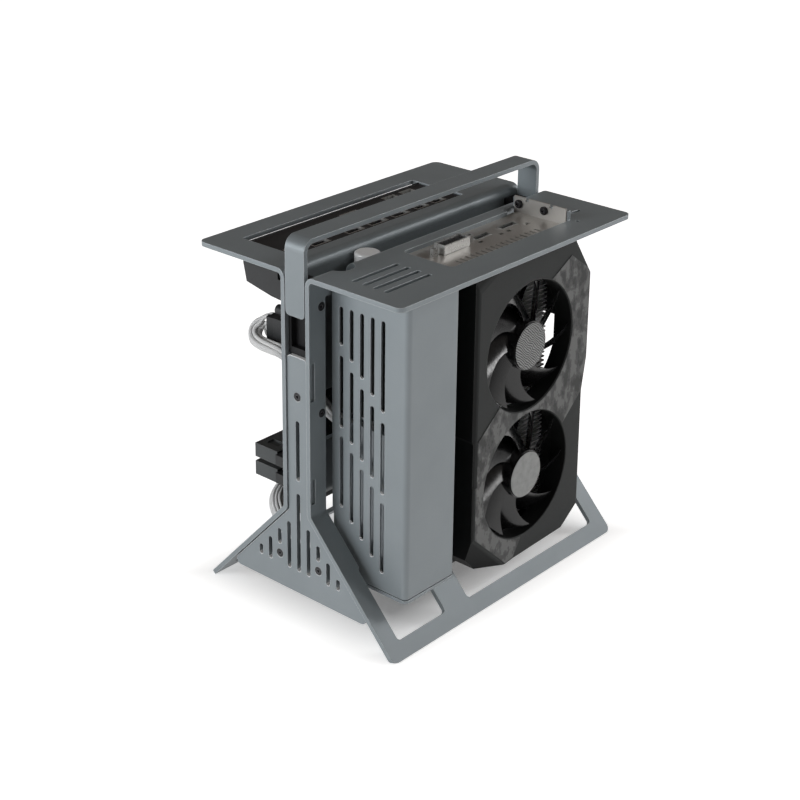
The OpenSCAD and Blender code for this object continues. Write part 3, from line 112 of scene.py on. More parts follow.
def span(nt, fac, a, b, lo=0.0, hi=1.0):
    """lo at a, hi at b, straight between and level outside."""
    made = node(nt, "ShaderNodeMapRange")
    for i, value in enumerate((a, b, lo, hi)):
        made.inputs[i + 1].default_value = value
    nt.links.new(fac, made.inputs[0])
    return made.outputs[0]


def calc(nt, op, a, b=None):
    """One Math node; a and b are numbers or sockets."""
    made = node(nt, "ShaderNodeMath", operation=op)
    for i, value in enumerate((a, b)):
        if isinstance(value, (int, float)):
            made.inputs[i].default_value = value
        elif value is not None:
            nt.links.new(value, made.inputs[i])
    return made.outputs[0]


def dot(nt, a, b):
    """Dot product of a socket with a socket or a fixed direction."""
    made = node(nt, "ShaderNodeVectorMath", operation="DOT_PRODUCT")
    nt.links.new(a, made.inputs[0])
    if isinstance(b, tuple):
        made.inputs[1].default_value = b
    else:
        nt.links.new(b, made.inputs[1])
    return made.outputs["Value"]


def split(nt, vec):
    made = node(nt, "ShaderNodeSeparateXYZ")
    nt.links.new(vec, made.inputs[0])
    return made.outputs


def blend_colour(nt, fac, a, b):
    """Colour a where fac is 0 and b where it is 1."""
    made = node(nt, "ShaderNodeMix", data_type="RGBA")
    for key, value in (("Factor", fac), ("A", a), ("B", b)):
        if isinstance(value, tuple):
            made.inputs[key].default_value = (*value, 1)
        else:
            nt.links.new(value, made.inputs[key])
    return made.outputs["Result"]


def rounded_normal(nt, radius, samples=4):
    made = node(nt, "ShaderNodeBevel", samples=samples)
    made.inputs["Radius"].default_value = radius
    return made.outputs[0]


def edge_mask(nt, radius):
    """0 on a flat face, 1 on an edge, from how far a rounded normal leans from the true one."""
    true_normal = node(nt, "ShaderNodeNewGeometry").outputs["True Normal"]
    lean = calc(nt, "SUBTRACT", 1.0, dot(nt, rounded_normal(nt, radius), true_normal))
    return span(nt, lean, 0.03, 0.22)


def bump(nt, bsdf, height, strength, distance, radius=0.0):
    made = node(nt, "ShaderNodeBump")
    made.inputs["Strength"].default_value = strength
    made.inputs["Distance"].default_value = distance
    nt.links.new(height, made.inputs["Height"])
    if radius:
        nt.links.new(rounded_normal(nt, radius), made.inputs["Normal"])
    nt.links.new(made.outputs[0], bsdf.inputs["Normal"])


# how far the slot ends are rounded in the shading, for the painted highlight on them
LIP_RADIUS = 1.1 * MM


def finish_like(name, dark, light, rough, metallic=0.0, grain=900, grain_mm=0.02, edge=0.4 * MM,
                spec=0.5, patch=25, edge_highlight=None, lip_highlight=None, pattern=None):
    """A moulded, coated or anodised surface: two close tones in soft patches and a fine grain.

    edge rounds the edges in the shading; the next colour is a painted highlight laid on those edges,
    the one after is a painted highlight on the upward-facing lower ends of slots, and pattern(nt,
    tone) lays something over the tone.
    """
    material, nt, bsdf = new_material(name)
    at = position(nt)
    fine = noise(nt, at, grain, 4.0, 0.6)
    tone = ramp(nt, noise(nt, at, patch), [(0.3, dark), (0.7, light)])
    if pattern:
        tone = pattern(nt, tone)
    # painted highlight: a pale colour laid along the rounded edges
    if edge_highlight:
        tone = blend_colour(nt, edge_mask(nt, edge * 1.4), tone, edge_highlight)
    # painted highlight: white and not metallic where the rounded normal faces up, at the lower ends
    # of slots
    if lip_highlight:
        lip_highlight_mask = span(nt, split(nt, rounded_normal(nt, LIP_RADIUS, 6))[2], 0.2, 0.4)
        tone = blend_colour(nt, lip_highlight_mask, tone, lip_highlight)
        metal = calc(nt, "MULTIPLY", calc(nt, "SUBTRACT", 1.0, lip_highlight_mask), metallic)
        nt.links.new(metal, bsdf.inputs["Metallic"])
    else:
        bsdf.inputs["Metallic"].default_value = metallic
    nt.links.new(tone, bsdf.inputs["Base Color"])
    nt.links.new(span(nt, fine, 0.3, 0.7, rough - 0.05, rough + 0.06), bsdf.inputs["Roughness"])
    bsdf.inputs["Specular IOR Level"].default_value = spec
    bump(nt, bsdf, fine, 0.5, grain_mm * MM, edge)
    return material


def assign(material, *names):
    for name in names:
        slots = nodes[name].data.materials
        slots.clear()
        slots.append(material)


# Camera: fitted to the photograph, an 800 x 800 frame with its centre off the lens axis

FRAME_PX = 800
FOCAL_PX = 1760.198
AXIS_PX = (388.301, 258.080)
AZIMUTH, ELEVATION, ROLL = 0.72591, 0.355831, 0.008645
CAMERA_AT = (0.675408, -0.678795 - FRONT_MM * MM, 0.595783)
SENSOR_MM = 36

camera_data = bpy.data.cameras.new("camera")
camera = bpy.data.objects.new("camera", camera_data)
scene.collection.objects.link(camera)
backward = Vector((math.sin(AZIMUTH) * math.cos(ELEVATION),
                   -math.cos(AZIMUTH) * math.cos(ELEVATION), math.sin(ELEVATION)))
level_right = (-backward).cross(Vector((0, 0, 1))).normalized()
level_up = level_right.cross(-backward).normalized()
camera_right = math.cos(ROLL) * level_right + math.sin(ROLL) * level_up
camera_up = -math.sin(ROLL) * level_right + math.cos(ROLL) * level_up
facing = Matrix((camera_right, camera_up, backward)).transposed().to_4x4()
camera.matrix_world = Matrix.Translation(CAMERA_AT) @ facing
camera_data.sensor_width = SENSOR_MM
camera_data.lens = SENSOR_MM * FOCAL_PX / FRAME_PX
camera_data.shift_x = (FRAME_PX / 2 - AXIS_PX[0]) / FRAME_PX
camera_data.shift_y = (AXIS_PX[1] - FRAME_PX / 2) / FRAME_PX
camera_data.clip_start, camera_data.clip_end = 0.01, 100
scene.camera = camera

# Floor: pale, glowing white to the camera away from the part; the glow fades near the part,
# so the floor under it is painted darker as shade, and the part's shadow is kept there

FLOOR_SIZE = 60
bpy.ops.mesh.primitive_plane_add(size=FLOOR_SIZE)
floor = bpy.context.object
floor.name = "floor"
paint, nt, bsdf = new_material("floor_paint")
bsdf.inputs["Base Color"].default_value = (0.86, 0.86, 0.86, 1)
bsdf.inputs["Roughness"].default_value = 0.9
bsdf.inputs["Emission Color"].default_value = (1, 1, 1, 1)
floor_x, floor_y, _ = split(nt, position(nt))
away = calc(nt, "MAXIMUM", calc(nt, "SUBTRACT", calc(nt, "ABSOLUTE", floor_x), 0.07),
            calc(nt, "SUBTRACT", calc(nt, "ABSOLUTE", floor_y), 0.10))
ray = node(nt, "ShaderNodeLightPath").outputs
seen = calc(nt, "MAXIMUM", calc(nt, "MAXIMUM", ray["Is Camera Ray"], ray["Is Glossy Ray"]),
            ray["Is Transmission Ray"])
# the glow is 0.12 under the part and 0.82 away from it: painted shade under the part
nt.links.new(calc(nt, "MULTIPLY", seen, span(nt, away, -0.03, 0.03, 0.12, 0.82)),
             bsdf.inputs["Emission Strength"])
floor.data.materials.append(paint)

# World: pale at the horizon and grey above. A dim patch lies where the top plates reflect it,
# and a bright one where the near leg does.

TOP_PLATES_REFLECT = (-0.60, 0.68, 0.42)
NEAR_LEG_REFLECTS = (0.44, 0.70, 0.56)

world = bpy.data.worlds.new("studio")
scene.world = world
world.use_nodes = True
nt = world.node_tree
nt.nodes.clear()
world_out = node(nt, "ShaderNodeOutputWorld")
backdrop = node(nt, "ShaderNodeBackground")
sky_way = node(nt, "ShaderNodeTexCoord").outputs["Generated"]
height = split(nt, sky_way)[2]
sky = ramp(nt, height, [(0.0, (0.95, 0.95, 0.95)), (0.07, (0.85, 0.85, 0.85)),
                        (0.22, (0.18, 0.175, 0.17)), (0.8, (0.125, 0.105, 0.088))])
dim = calc(nt, "MULTIPLY", span(nt, dot(nt, sky_way, TOP_PLATES_REFLECT), 0.57, 0.88),
           span(nt, height, 0.07, 0.17))
glow = span(nt, dot(nt, sky_way, NEAR_LEG_REFLECTS), 0.93, 0.975)
dusk = blend_colour(nt, dim, sky, (0.05, 0.035, 0.026))
nt.links.new(blend_colour(nt, glow, dusk, (1.0, 1.02, 1.04)), backdrop.inputs[0])
nt.links.new(backdrop.outputs[0], world_out.inputs[0])


def lamp(name, at, look_at, size, watts, tint=(1, 1, 1)):
    data = bpy.data.lights.new(name, "AREA")
    data.shape = "RECTANGLE"
    data.size, data.size_y = size
    data.energy = watts
    data.color = tint
    made = bpy.data.objects.new(name, data)
    scene.collection.objects.link(made)
    made.location = at
    made.rotation_mode = "QUATERNION"
    made.rotation_quaternion = (Vector(look_at) - Vector(at)).to_track_quat("-Z", "Y")


lamp("key", (-1.0, -2.3, 0.8), (0, 0, 0.1), (1.6, 1.2), 38, (0.95, 0.98, 1))
lamp("top", (0.1, 0.5, 2.4), (0, 0, 0), (1.6, 1.6), 3, (1, 0.94, 0.88))
lamp("window", (0.92, 1.40, 1.16), (0, 0, 0.1), (0.55, 0.55), 6)    # light on the legs' faces
lamp("sheen", (1.46, 0.70, 0.53), (0.07, 0.02, 0.15), (0.24, 0.3), 3)    # streak on the blades


# Patterns laid over a finish

BAND_X = 0.0718         # the shroud's raised band starts here, and its panels here; what lies deeper, inside its rings, is painted near-black as shade
PANEL_X = 0.071         # here; what lies deeper is the dark inside of its rings


def camo(nt, tone):
    """The shroud: blotchy grey patches on its raised band, plain panels, and rings painted near-black
    as shade.
    """
    at = position(nt)
    x = split(nt, at)[0]
    at = mapped(nt, at, (1, 1.6, 1))
    mix = calc(nt, "ADD", calc(nt, "MULTIPLY", noise(nt, at, 95, 2.0, 0.4), 0.72),
               calc(nt, "MULTIPLY", noise(nt, at, 420, 3.0, 0.7), 0.28))
    patches = ramp(nt, mix, [(0.42, (0.062, 0.063, 0.063)), (0.46, (0.096, 0.098, 0.098)),
                             (0.52, (0.112, 0.114, 0.114)), (0.545, (0.185, 0.188, 0.187))])
    on_panel = span(nt, x, PANEL_X - 0.2 * MM, PANEL_X + 0.3 * MM)
    on_band = span(nt, x, BAND_X - 0.05 * MM, BAND_X + 0.05 * MM)
    # painted shade: the inside of the rings, deeper than the panels, is near-black
    plain = blend_colour(nt, on_panel, (0.006, 0.0065, 0.0065), tone)
    return blend_colour(nt, on_band, plain, patches)


TRACKS_PER_METRE = 900.0


def tracks(nt, tone):
    """Copper tracks and vias under the solder mask of a circuit board."""
    at = position(nt)
    _, y, z = split(nt, at)
    across = span(nt, noise(nt, at, 45, 1.0, 0.3), 0.49, 0.51)
    rows = calc(nt, "FRACT", calc(nt, "MULTIPLY", z, TRACKS_PER_METRE))
    columns = calc(nt, "FRACT", calc(nt, "MULTIPLY", y, TRACKS_PER_METRE))
    line = calc(nt, "ADD", calc(nt, "MULTIPLY", across, rows),
                calc(nt, "MULTIPLY", calc(nt, "SUBTRACT", 1.0, across), columns))
    routed = span(nt, noise(nt, at, 140, 0.0), 0.5, 0.52)
    copper = calc(nt, "MULTIPLY", calc(nt, "GREATER_THAN", line, 0.62), routed)
    tone = blend_colour(nt, copper, tone, (0.022, 0.032, 0.028))
    cells = node(nt, "ShaderNodeTexVoronoi")
    cells.inputs["Scale"].default_value = 330
    nt.links.new(at, cells.inputs["Vector"])
    via = calc(nt, "LESS_THAN", cells.outputs["Distance"], 0.13)
    return blend_colour(nt, via, tone, (0.36, 0.31, 0.2))


RIBBON_WAVE = 4950.0    # radians per metre, for a conductor every 1.27 mm


def ribs(nt, tone):
    """The ribbon's parallel conductors."""
    wave = calc(nt, "SINE", calc(nt, "MULTIPLY", split(nt, position(nt))[2], RIBBON_WAVE))
    return blend_colour(nt, span(nt, wave, -1, 1), tone, (0.045, 0.045, 0.048))


def fine_lines(nt, tone):
    """Fine brushed lines, slightly wavy, as on a machined disc."""
    at = position(nt)
    _, y, z = split(nt, at)
    slanted = calc(nt, "ADD", calc(nt, "MULTIPLY", y, 0.64), calc(nt, "MULTIPLY", z, 0.77))
    wavy = calc(nt, "ADD", slanted, calc(nt, "MULTIPLY", noise(nt, at, 170, 2.0), 3.4 * MM))
    wave = calc(nt, "SINE", calc(nt, "MULTIPLY", wavy, 2 * math.pi / (1.35 * MM)))
    return blend_colour(nt, span(nt, wave, -0.25, 0.25), tone, (0.035, 0.036, 0.036))


# Finishes. A shiny one has edge=0, because rounded shading is noisy on it.

ANODISED = dict(dark=(0.225, 0.255, 0.272), light=(0.25, 0.28, 0.298), rough=0.4, metallic=0.22,
                grain=1400, grain_mm=0.004, edge=0.5 * MM)
plastic = finish_like("black_plastic", (0.014, 0.015, 0.016), (0.022, 0.023, 0.025), 0.5,
                      grain_mm=0.01, edge=0.3 * MM, spec=0.35)
by_slot = {
    # Where a finish below is given a pale edge colour, that colour is a painted highlight on its
    # edges.
    "frame_sheet": finish_like("anodised_sheet", **ANODISED, edge_highlight=(0.62, 0.66, 0.69)),
    "black_nylon": finish_like("black_nylon", (0.008, 0.008, 0.009), (0.014, 0.014, 0.015), 0.5,
                               grain=700, grain_mm=0.01, edge=0, spec=0.2),
    "black_steel": finish_like("black_oxide", (0.02, 0.02, 0.022), (0.035, 0.035, 0.037), 0.38,
                               metallic=0.6, grain_mm=0.004, edge=0.2 * MM, edge_highlight=(0.3, 0.3, 0.31)),
    "bright_metal": finish_like("bright_satin", (0.93, 0.93, 0.93), (0.98, 0.98, 0.98), 0.35,
                                metallic=0.1, grain=1200, grain_mm=0.001, edge=0),
    "bright_steel": finish_like("plated_steel", (0.5, 0.5, 0.49), (0.6, 0.6, 0.59), 0.3,
                                metallic=0.8, grain=800, grain_mm=0.001, edge=0),
    "brass_posts": finish_like("turned_brass", (0.55, 0.4, 0.14), (0.62, 0.47, 0.18), 0.3,
                               metallic=0.95, grain=800, grain_mm=0.001, edge=0),
    "black_plastic": plastic,
    "fan_plastic": finish_like("fan_plastic", (0.006, 0.006, 0.0065), (0.009, 0.009, 0.0095), 0.2,
                               grain=300, grain_mm=0.0002, edge=0, spec=0.5),
    "shroud_plastic": finish_like("shroud_plastic", (0.026, 0.028, 0.028), (0.031, 0.033, 0.033),
                                  0.5, grain=1500, edge=0.6 * MM, spec=0.15,
                                  edge_highlight=(0.09, 0.095, 0.095), pattern=camo),
    "black_sheet": finish_like("powder_coat", (0.014, 0.014, 0.015), (0.022, 0.022, 0.023), 0.55,
                               metallic=0.1, grain=1800, edge=0.3 * MM, spec=0.35,
                               edge_highlight=(0.07, 0.07, 0.072)),
    "circuit_board": finish_like("solder_mask", (0.008, 0.012, 0.011), (0.012, 0.017, 0.016), 0.35,
                                 grain=500, grain_mm=0.01, edge=0.1 * MM, pattern=tracks),
    "dark_heatsink": finish_like("black_anodised", (0.045, 0.05, 0.052), (0.07, 0.076, 0.078), 0.42,
                                 metallic=0.3, grain_mm=0.004, edge=0.4 * MM, spec=0.35,
                                 edge_highlight=(0.16, 0.165, 0.17)),
    "bare_fins": finish_like("bare_fins", (0.86, 0.87, 0.88), (0.95, 0.955, 0.96), 0.33,
                             metallic=0.25, grain_mm=0.003, edge=0),
    "white_sleeving": finish_like("white_sleeving", (0.8, 0.8, 0.8), (0.88, 0.88, 0.88), 0.8,
                                  grain=2500, grain_mm=0.1, edge=0),
    "ribbon": finish_like("ribbon_skin", (0.016, 0.016, 0.017), (0.024, 0.024, 0.026), 0.5,
                          grain=500, grain_mm=0.01, edge=0.3 * MM, pattern=ribs),
    "satin_nickel": finish_like("satin_nickel", (0.40, 0.385, 0.365), (0.47, 0.45, 0.425), 0.36,
                                metallic=0.6, grain_mm=0.001, edge=0),
}
for row in frame["record"]["subparts"]:
    assign(by_slot[row["material_slot"]], row["node"])
# The slotted sheets: a pale painted highlight on their edges, and a white painted highlight at the
# lower ends of their slots.
slotted = finish_like("anodised_slotted", **ANODISED, edge_highlight=(0.5, 0.54, 0.57), lip_highlight=(1, 1, 1))
assign(slotted, "front_end_plate", "rear_end_plate", "psu_cover")


def piece(name, bm, body, slot, *materials, smooth=False):
    """Turns a bmesh into a named piece that rides on a body."""
    mesh = bpy.data.meshes.new(name)
    bm.normal_update()
    bm.to_mesh(mesh)
    bm.free()
    for face in mesh.polygons:
        face.use_smooth = smooth
    for material in materials:
        mesh.materials.append(material)
    made = bpy.data.objects.new(name, mesh)
    scene.collection.objects.link(made)
    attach(made, body)
    return made


# Sleeved wires, which stand for the two plain cables

THREADS_ROUND, THREAD_TURNS_PER_MM = 5, 0.9


def braid(name):
    """White sleeving over one wire: two crossing sets of threads."""
    material, nt, bsdf = new_material(name)
    round_it, along, _ = split(nt, node(nt, "ShaderNodeUVMap", uv_map="sleeve").outputs[0])
    turned = calc(nt, "MULTIPLY", round_it, 2 * math.pi * THREADS_ROUND)
    run = calc(nt, "MULTIPLY", along, 2 * math.pi * THREAD_TURNS_PER_MM)
    weave = calc(nt, "MAXIMUM", calc(nt, "SINE", calc(nt, "ADD", turned, run)),
                 calc(nt, "SINE", calc(nt, "SUBTRACT", turned, run)))
    thread = ramp(nt, noise(nt, position(nt), 120), [(0.3, (0.8, 0.8, 0.79)), (0.7, (0.9, 0.9, 0.9))])
    nt.links.new(blend_colour(nt, span(nt, weave, -0.4, 0.9), (0.52, 0.52, 0.53), thread),
                 bsdf.inputs["Base Color"])
    bsdf.inputs["Roughness"].default_value = 0.75
    bsdf.inputs["Sheen Weight"].default_value = 0.3
    bump(nt, bsdf, weave, 0.6, 0.12 * MM)
    return material


def spline(route, steps):
    """Catmull-Rom curve through a route's (x, depth, z) points in mm, in metres of the frame."""
    at = [Vector((x, depth - FRONT_MM, z)) * MM for x, depth, z in route]
    out = []
    for i in range(len(at) - 1):
        a, b, c, d = at[max(0, i - 1)], at[i], at[i + 1], at[min(len(at) - 1, i + 2)]
        for k in range(steps):
            t = k / steps
            out.append(0.5 * (2 * b + (c - a) * t + (2 * a - 5 * b + 4 * c - d) * t * t
                              + (3 * b - a - 3 * c + d) * t ** 3))
    out.append(at[-1])
    return out


def section_axes(path):
    """Two directions square to the path at each of its points, carried along without twist."""
    side = Vector((0, 0, 1))
    axes = []
    for i in range(len(path)):
        heading = (path[min(i + 1, len(path) - 1)] - path[max(i - 1, 0)]).normalized()
        side = (side - side.dot(heading) * heading).normalized()
        axes.append((side.copy(), heading.cross(side)))
    return axes


def bundle_places(rings):
    """Where each wire lies in the bundle's section, from (wires, radius in mm) rings."""
    places = []
    for count, radius_mm in rings:
        for k in range(count):
            angle = 2 * math.pi * (k + 0.5) / count
            places.append((radius_mm * MM * math.cos(angle), radius_mm * MM * math.sin(angle)))
    return places


WIRE_SIDES = 7
BUNDLE_TURN = 0.9 * math.pi
WIRE_WAVER = 0.25 * MM


def strands(name, route, rings, radius_mm, start_grid, end_grid, fan_mm, node_name):
    """A bundle of sleeved wires on a route, fanned out to the plug's rows at both ends."""
    path = spline(route, 5)
    run = [0.0]
    for a, b in zip(path, path[1:]):
        run.append(run[-1] + (b - a).length)
    total = run[-1]
    axes = section_axes(path)
    radius, fan = radius_mm * MM, fan_mm * MM
    corners = [2 * math.pi * k / WIRE_SIDES for k in range(WIRE_SIDES)]
    bm = bmesh.new()
    uv = bm.loops.layers.uv.new("sleeve")
    rnd = random.Random(11)
    for wire, (a, b) in enumerate(bundle_places(rings)):
        phase = [rnd.uniform(-1, 1) for _ in range(4)]
        last = None
        for middle, (u, v), s in zip(path, axes, run):
            angle = BUNDLE_TURN * s / total + 0.05 * math.sin(40 * s + phase[0])
            ca, sa = math.cos(angle), math.sin(angle)
            offset = (a * ca - b * sa) * u + (a * sa + b * ca) * v
            offset += WIRE_WAVER * (math.sin(60 * s + 3 * phase[1]) * u
                                    + math.sin(55 * s + 3 * phase[2]) * v)
            for grid, from_end in ((start_grid, s), (end_grid, total - s)):
                if from_end < fan:
                    t = from_end / fan
                    t = t * t * (3 - 2 * t)
                    offset = offset * t + Vector(grid[wire % len(grid)]) * MM * (1 - t)
            centre = middle + offset
            ring = [bm.verts.new(centre + radius * (math.cos(c) * u + math.sin(c) * v))
                    for c in corners]
            if last:
                before, s0 = last
                for k in range(WIRE_SIDES):
                    j = (k + 1) % WIRE_SIDES
                    face = bm.faces.new((before[k], before[j], ring[j], ring[k]))
                    for loop, (across, along) in zip(face.loops, ((k, s0), (k + 1, s0),
                                                                  (k + 1, s), (k, s))):
                        loop[uv].uv = (across / WIRE_SIDES, along / MM)
            last = (ring, s)
    bmesh.ops.recalc_face_normals(bm, faces=bm.faces)
    made = piece(name, bm, "case", "white_sleeving", sleeve, smooth=True)
    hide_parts(node_name)


sleeve = braid("braided_sleeve")
EPS_ROUTE = [
    (-41.4, 21, 180), (-43.6, 21, 180), (-46, 20.6, 180), (-49.6, 18.4, 178.4), (-50, 15.6, 175),
    (-46, 12.4, 172.4), (-39, 10.8, 171.6), (-30, 9.8, 172), (-22.4, 10.6, 171.4), (-18, 15, 166),
    (-17.8, 22, 156), (-17.2, 30, 144), (-14, 37, 131), (-7, 40, 124), (2, 40.5, 121),
    (13, 40.5, 121), (23, 40.6, 124), (28, 40.8, 128.6), (29, 41, 132.6), (29, 41, 135.8)]
ATX_ROUTE = [
    (-41.9, 64, 62), (-44.4, 64, 62), (-46.8, 63.7, 61.9), (-50.4, 52, 60), (-49.6, 39, 59),
    (-44, 27, 57), (-36, 20.6, 53), (-28, 20, 48.4), (-18, 24, 43.6), (-8, 31, 41.6), (4, 36, 42.6),
    (16, 39, 47.6), (28, 40.4, 57), (38, 41, 71), (45, 41, 89), (48.4, 41, 108), (49, 41, 122),
    (49, 41, 130), (49, 41, 135.8)]
CONTACT_MM = 4.2        # pitch of a plug's contacts
ROWS = (-CONTACT_MM / 2, CONTACT_MM / 2)
strands("eps_wires", EPS_ROUTE, [(1, 0), (7, 3.0)], 1.45,
        [(0, y, z) for z in (-6.3, -2.1, 2.1, 6.3) for y in ROWS],
        [(x, y, 0) for x in (-4.2, -1.4, 1.4, 4.2) for y in ROWS], 9, "eps_cable")
strands("atx_wires", ATX_ROUTE, [(1, 0), (6, 2.2), (13, 4.3)], 1.12,
        [(0, CONTACT_MM * (k - 4.5), z) for k in range(10) for z in ROWS],
        [(2 * k - 9, y, 0) for k in range(10) for y in ROWS], 12, "atx_cable")


# Bare satin discs on the hubs of the card's fans

DISC_RADIUS_MM, DISC_STEPS = 15.2, 72
DISC_PROFILE_MM = [(0, -0.05), (0, 0.16), (0.12, 0.24), (0.5, 0.26), (0.6, 0.2), (1.0, 0.2),
                   (1.1, 0.26), (DISC_RADIUS_MM - 0.001, 0.27)]    # in from the rim, out from the hub
HUB_FACE_X, HUB_Y = 0.0715, 0.024


def disc(name, body, z, material):
    bm = bmesh.new()
    loops = []
    for inward, out in DISC_PROFILE_MM:
        radius = (DISC_RADIUS_MM - inward) * MM
        loops.append([bm.verts.new((HUB_FACE_X + out * MM,
                                    HUB_Y + radius * math.cos(2 * math.pi * k / DISC_STEPS),
                                    z + radius * math.sin(2 * math.pi * k / DISC_STEPS)))
                      for k in range(DISC_STEPS)])
    for outer, inner in zip(loops, loops[1:]):
        for k in range(DISC_STEPS):
            j = (k + 1) % DISC_STEPS
            bm.faces.new((outer[k], outer[j], inner[j], inner[k]))
    bm.faces.new(loops[-1])
    bm.faces.new(list(reversed(loops[0])))
    bmesh.ops.recalc_face_normals(bm, faces=bm.faces)
    piece(name, bm, body, "bright_metal", material)


lined = finish_like("lined_disc", (0.24, 0.245, 0.245), (0.30, 0.305, 0.305), 0.45,
                    metallic=0.2, grain=1500, grain_mm=0.004, edge=0, pattern=fine_lines)
plain = finish_like("satin_disc", (0.22, 0.225, 0.222), (0.29, 0.295, 0.292), 0.45,
                    metallic=0.3, grain=800, grain_mm=0.01, edge=0, patch=220)
disc("upper_hub_disc", "upper_rotor", 0.1626, lined)
disc("lower_hub_disc", "lower_rotor", 0.0732, plain)


# Inner sheets: a grey one behind the cover's slots, and the dark ones that close the shroud

def sheet_piece(name, x, depth, z, material, slot):
    """A flat sheet with rounded edges, from its limits in mm."""
    low = Vector((x[0], depth[0] - FRONT_MM, z[0])) * MM
    high = Vector((x[1], depth[1] - FRONT_MM, z[1])) * MM
    bm = bmesh.new()
    bmesh.ops.create_cube(bm, size=1, matrix=Matrix.Translation((low + high) / 2)
                          @ Matrix.Diagonal((*(high - low), 1)))
    bmesh.ops.bevel(bm, geom=list(bm.edges), offset=0.4 * MM, segments=2, affect="EDGES",
                    profile=0.5)
    piece(name, bm, "case", slot, material)


inner_grey = finish_like("inner_sheet", (0.42, 0.45, 0.47), (0.47, 0.5, 0.52), 0.5,
                         metallic=0.1, grain=1400, grain_mm=0.004, edge=0)
sheet_piece("psu_cover_lining", (14, 69.6), (23.4, 24.6), (41, 134), inner_grey, "frame_sheet")
sheet_piece("shroud_baffle", (46.4, 48.4), (92, 186), (17.8, 29.7), plastic, "black_plastic")
sheet_piece("shroud_skirt_upper", (33.6, 58), (183.6, 185.4), (165, 206), plastic, "black_plastic")
sheet_piece("shroud_skirt_lower", (33.6, 58), (183.6, 185.4), (19, 104), plastic, "black_plastic")


# Small parts on the board's open face, where nothing else stands

BOARD_FACE_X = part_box("motherboard")[0][0]
PROBE_X = -0.095        # outside everything on the board's side
BOARD_Y, BOARD_Z = (-0.093, 0.070), (0.060, 0.222)
GAP_MM = 0.5
EPOXY, CERAMIC, TIN, FERRITE = range(4)
SMALL_PARTS = [         # kind, sides and height in mm, tries
    ("chip", 7.0, 7.0, 1.0, 3), ("choke", 6.2, 6.2, 3.0, 6), ("driver", 3.6, 3.0, 0.9, 14),
    ("capacitor", 1.7, 0.9, 0.85, 150), ("resistor", 1.7, 0.9, 0.45, 150)]


def board_side_tree():
    """The solids on the board's side of the case, for testing what stands in the way."""
    verts, faces = [], []
    for name in nodes:
        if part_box(name)[0][0] < -0.02 and name not in ("eps_cable", "atx_cable"):
            mesh = nodes[name].data
            faces += [[len(verts) + i for i in face.vertices] for face in mesh.polygons]
            verts += [vert.co.copy() for vert in mesh.vertices]
    return BVHTree.FromPolygons(verts, faces)


def open_spot(tree, y, z, half_y, half_z):
    for a in (-1, 0, 1):
        for b in (-1, 0, 1):
            start = Vector((PROBE_X, y + a * half_y, z + b * half_z))
            hit = tree.ray_cast(start, Vector((1, 0, 0)))[0]
            if hit is None or abs(hit.x - BOARD_FACE_X) > 0.12 * MM:
                return False
    return True


def block(bm, at, size, material_index, bevel=0.0):
    made = bmesh.ops.create_cube(bm, size=1,
                                 matrix=Matrix.Translation(at) @ Matrix.Diagonal((*size, 1)))
    faces = {face for vert in made["verts"] for face in vert.link_faces}
    if bevel:
        edges = list({edge for vert in made["verts"] for edge in vert.link_edges})
        rounded = bmesh.ops.bevel(bm, geom=edges, offset=bevel, segments=1, affect="EDGES")
        faces = set(rounded["faces"]) | {face for face in faces if face.is_valid}
    for face in faces:
        face.material_index = material_index


def two_ended(bm, at, wide, tall, high, body):
    """A capacitor or resistor with a solder end on each side."""
    along_y = wide > tall
    middle = (0.62 * wide, tall) if along_y else (wide, 0.62 * tall)
    block(bm, at, (high * MM, middle[0] * MM, middle[1] * MM), body)
    cap = (0.24 * wide, tall) if along_y else (wide, 0.24 * tall)
    for end in (-1, 1):
        off = (0, end * 0.4 * wide * MM, 0) if along_y else (0, 0, end * 0.4 * tall * MM)
        block(bm, at + Vector(off), ((high + 0.04) * MM, cap[0] * MM, cap[1] * MM), TIN)


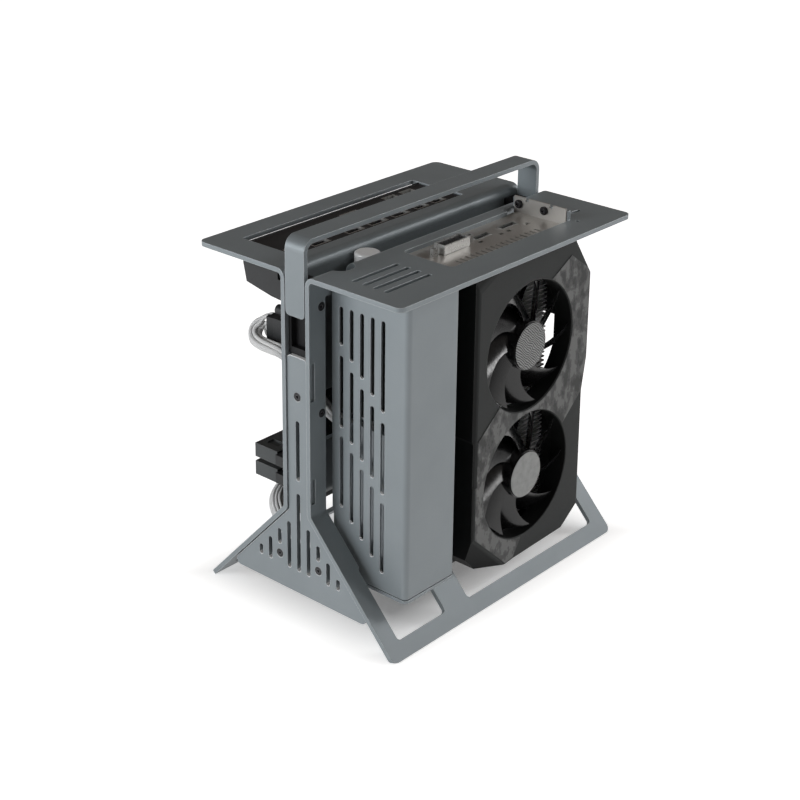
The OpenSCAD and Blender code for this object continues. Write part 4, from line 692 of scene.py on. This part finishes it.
def with_legs(bm, at, wide, tall, high, legs):
    """A chip with a row of legs on two sides."""
    block(bm, at + Vector((-0.05 * MM, 0, 0)),
          (high * MM, wide * MM * 0.86, tall * MM * 0.86), EPOXY, 0.12 * MM)
    for k in range(legs):
        slide = ((k + 0.5) / legs - 0.5) * 0.8
        for end in (-1, 1):
            leg_at = Vector((BOARD_FACE_X - 0.12 * MM, at.y + slide * wide * MM,
                             at.z + end * 0.46 * tall * MM))
            block(bm, leg_at, (0.2 * MM, 0.3 * MM, 0.1 * tall * MM), TIN)


def small_parts():
    tree = board_side_tree()
    bm = bmesh.new()
    rnd = random.Random(29)
    taken = []
    for kind, long, short, high, tries in SMALL_PARTS:
        for _ in range(tries):
            y = rnd.uniform(*BOARD_Y)
            z = rnd.uniform(*BOARD_Z)
            wide, tall = (long, short) if rnd.random() < 0.5 else (short, long)
            half_y, half_z = (wide / 2 + GAP_MM) * MM, (tall / 2 + GAP_MM) * MM
            if any(abs(y - ty) < half_y + hy and abs(z - tz) < half_z + hz
                   for ty, tz, hy, hz in taken):
                continue
            if not open_spot(tree, y, z, half_y, half_z):
                continue
            taken.append((y, z, half_y, half_z))
            at = Vector((BOARD_FACE_X - high * MM / 2 + 0.02 * MM, y, z))
            if kind == "capacitor":
                two_ended(bm, at, wide, tall, high, CERAMIC)
            elif kind == "resistor":
                two_ended(bm, at, wide, tall, high, EPOXY)
            elif kind == "choke":
                block(bm, at, (high * MM, wide * MM, tall * MM), FERRITE, 0.6 * MM)
            else:
                with_legs(bm, at, wide, tall, high, 8 if kind == "chip" else 3)
    return bm


epoxy = finish_like("black_epoxy", (0.012, 0.012, 0.013), (0.02, 0.02, 0.021), 0.45,
                    grain_mm=0.006, edge=0)
ceramic = finish_like("tan_ceramic", (0.26, 0.17, 0.09), (0.33, 0.22, 0.12), 0.5,
                      grain_mm=0.006, edge=0)
tin = finish_like("tinned_ends", (0.6, 0.6, 0.6), (0.7, 0.7, 0.69), 0.35,
                  metallic=0.9, grain_mm=0.004, edge=0)
ferrite = finish_like("grey_ferrite", (0.09, 0.09, 0.092), (0.13, 0.13, 0.132), 0.6,
                      grain_mm=0.01, edge=0)
piece("board_small_parts", small_parts(), "case", "black_plastic", epoxy, ceramic, tin, ferrite)

scene.view_settings.view_transform = "Standard"
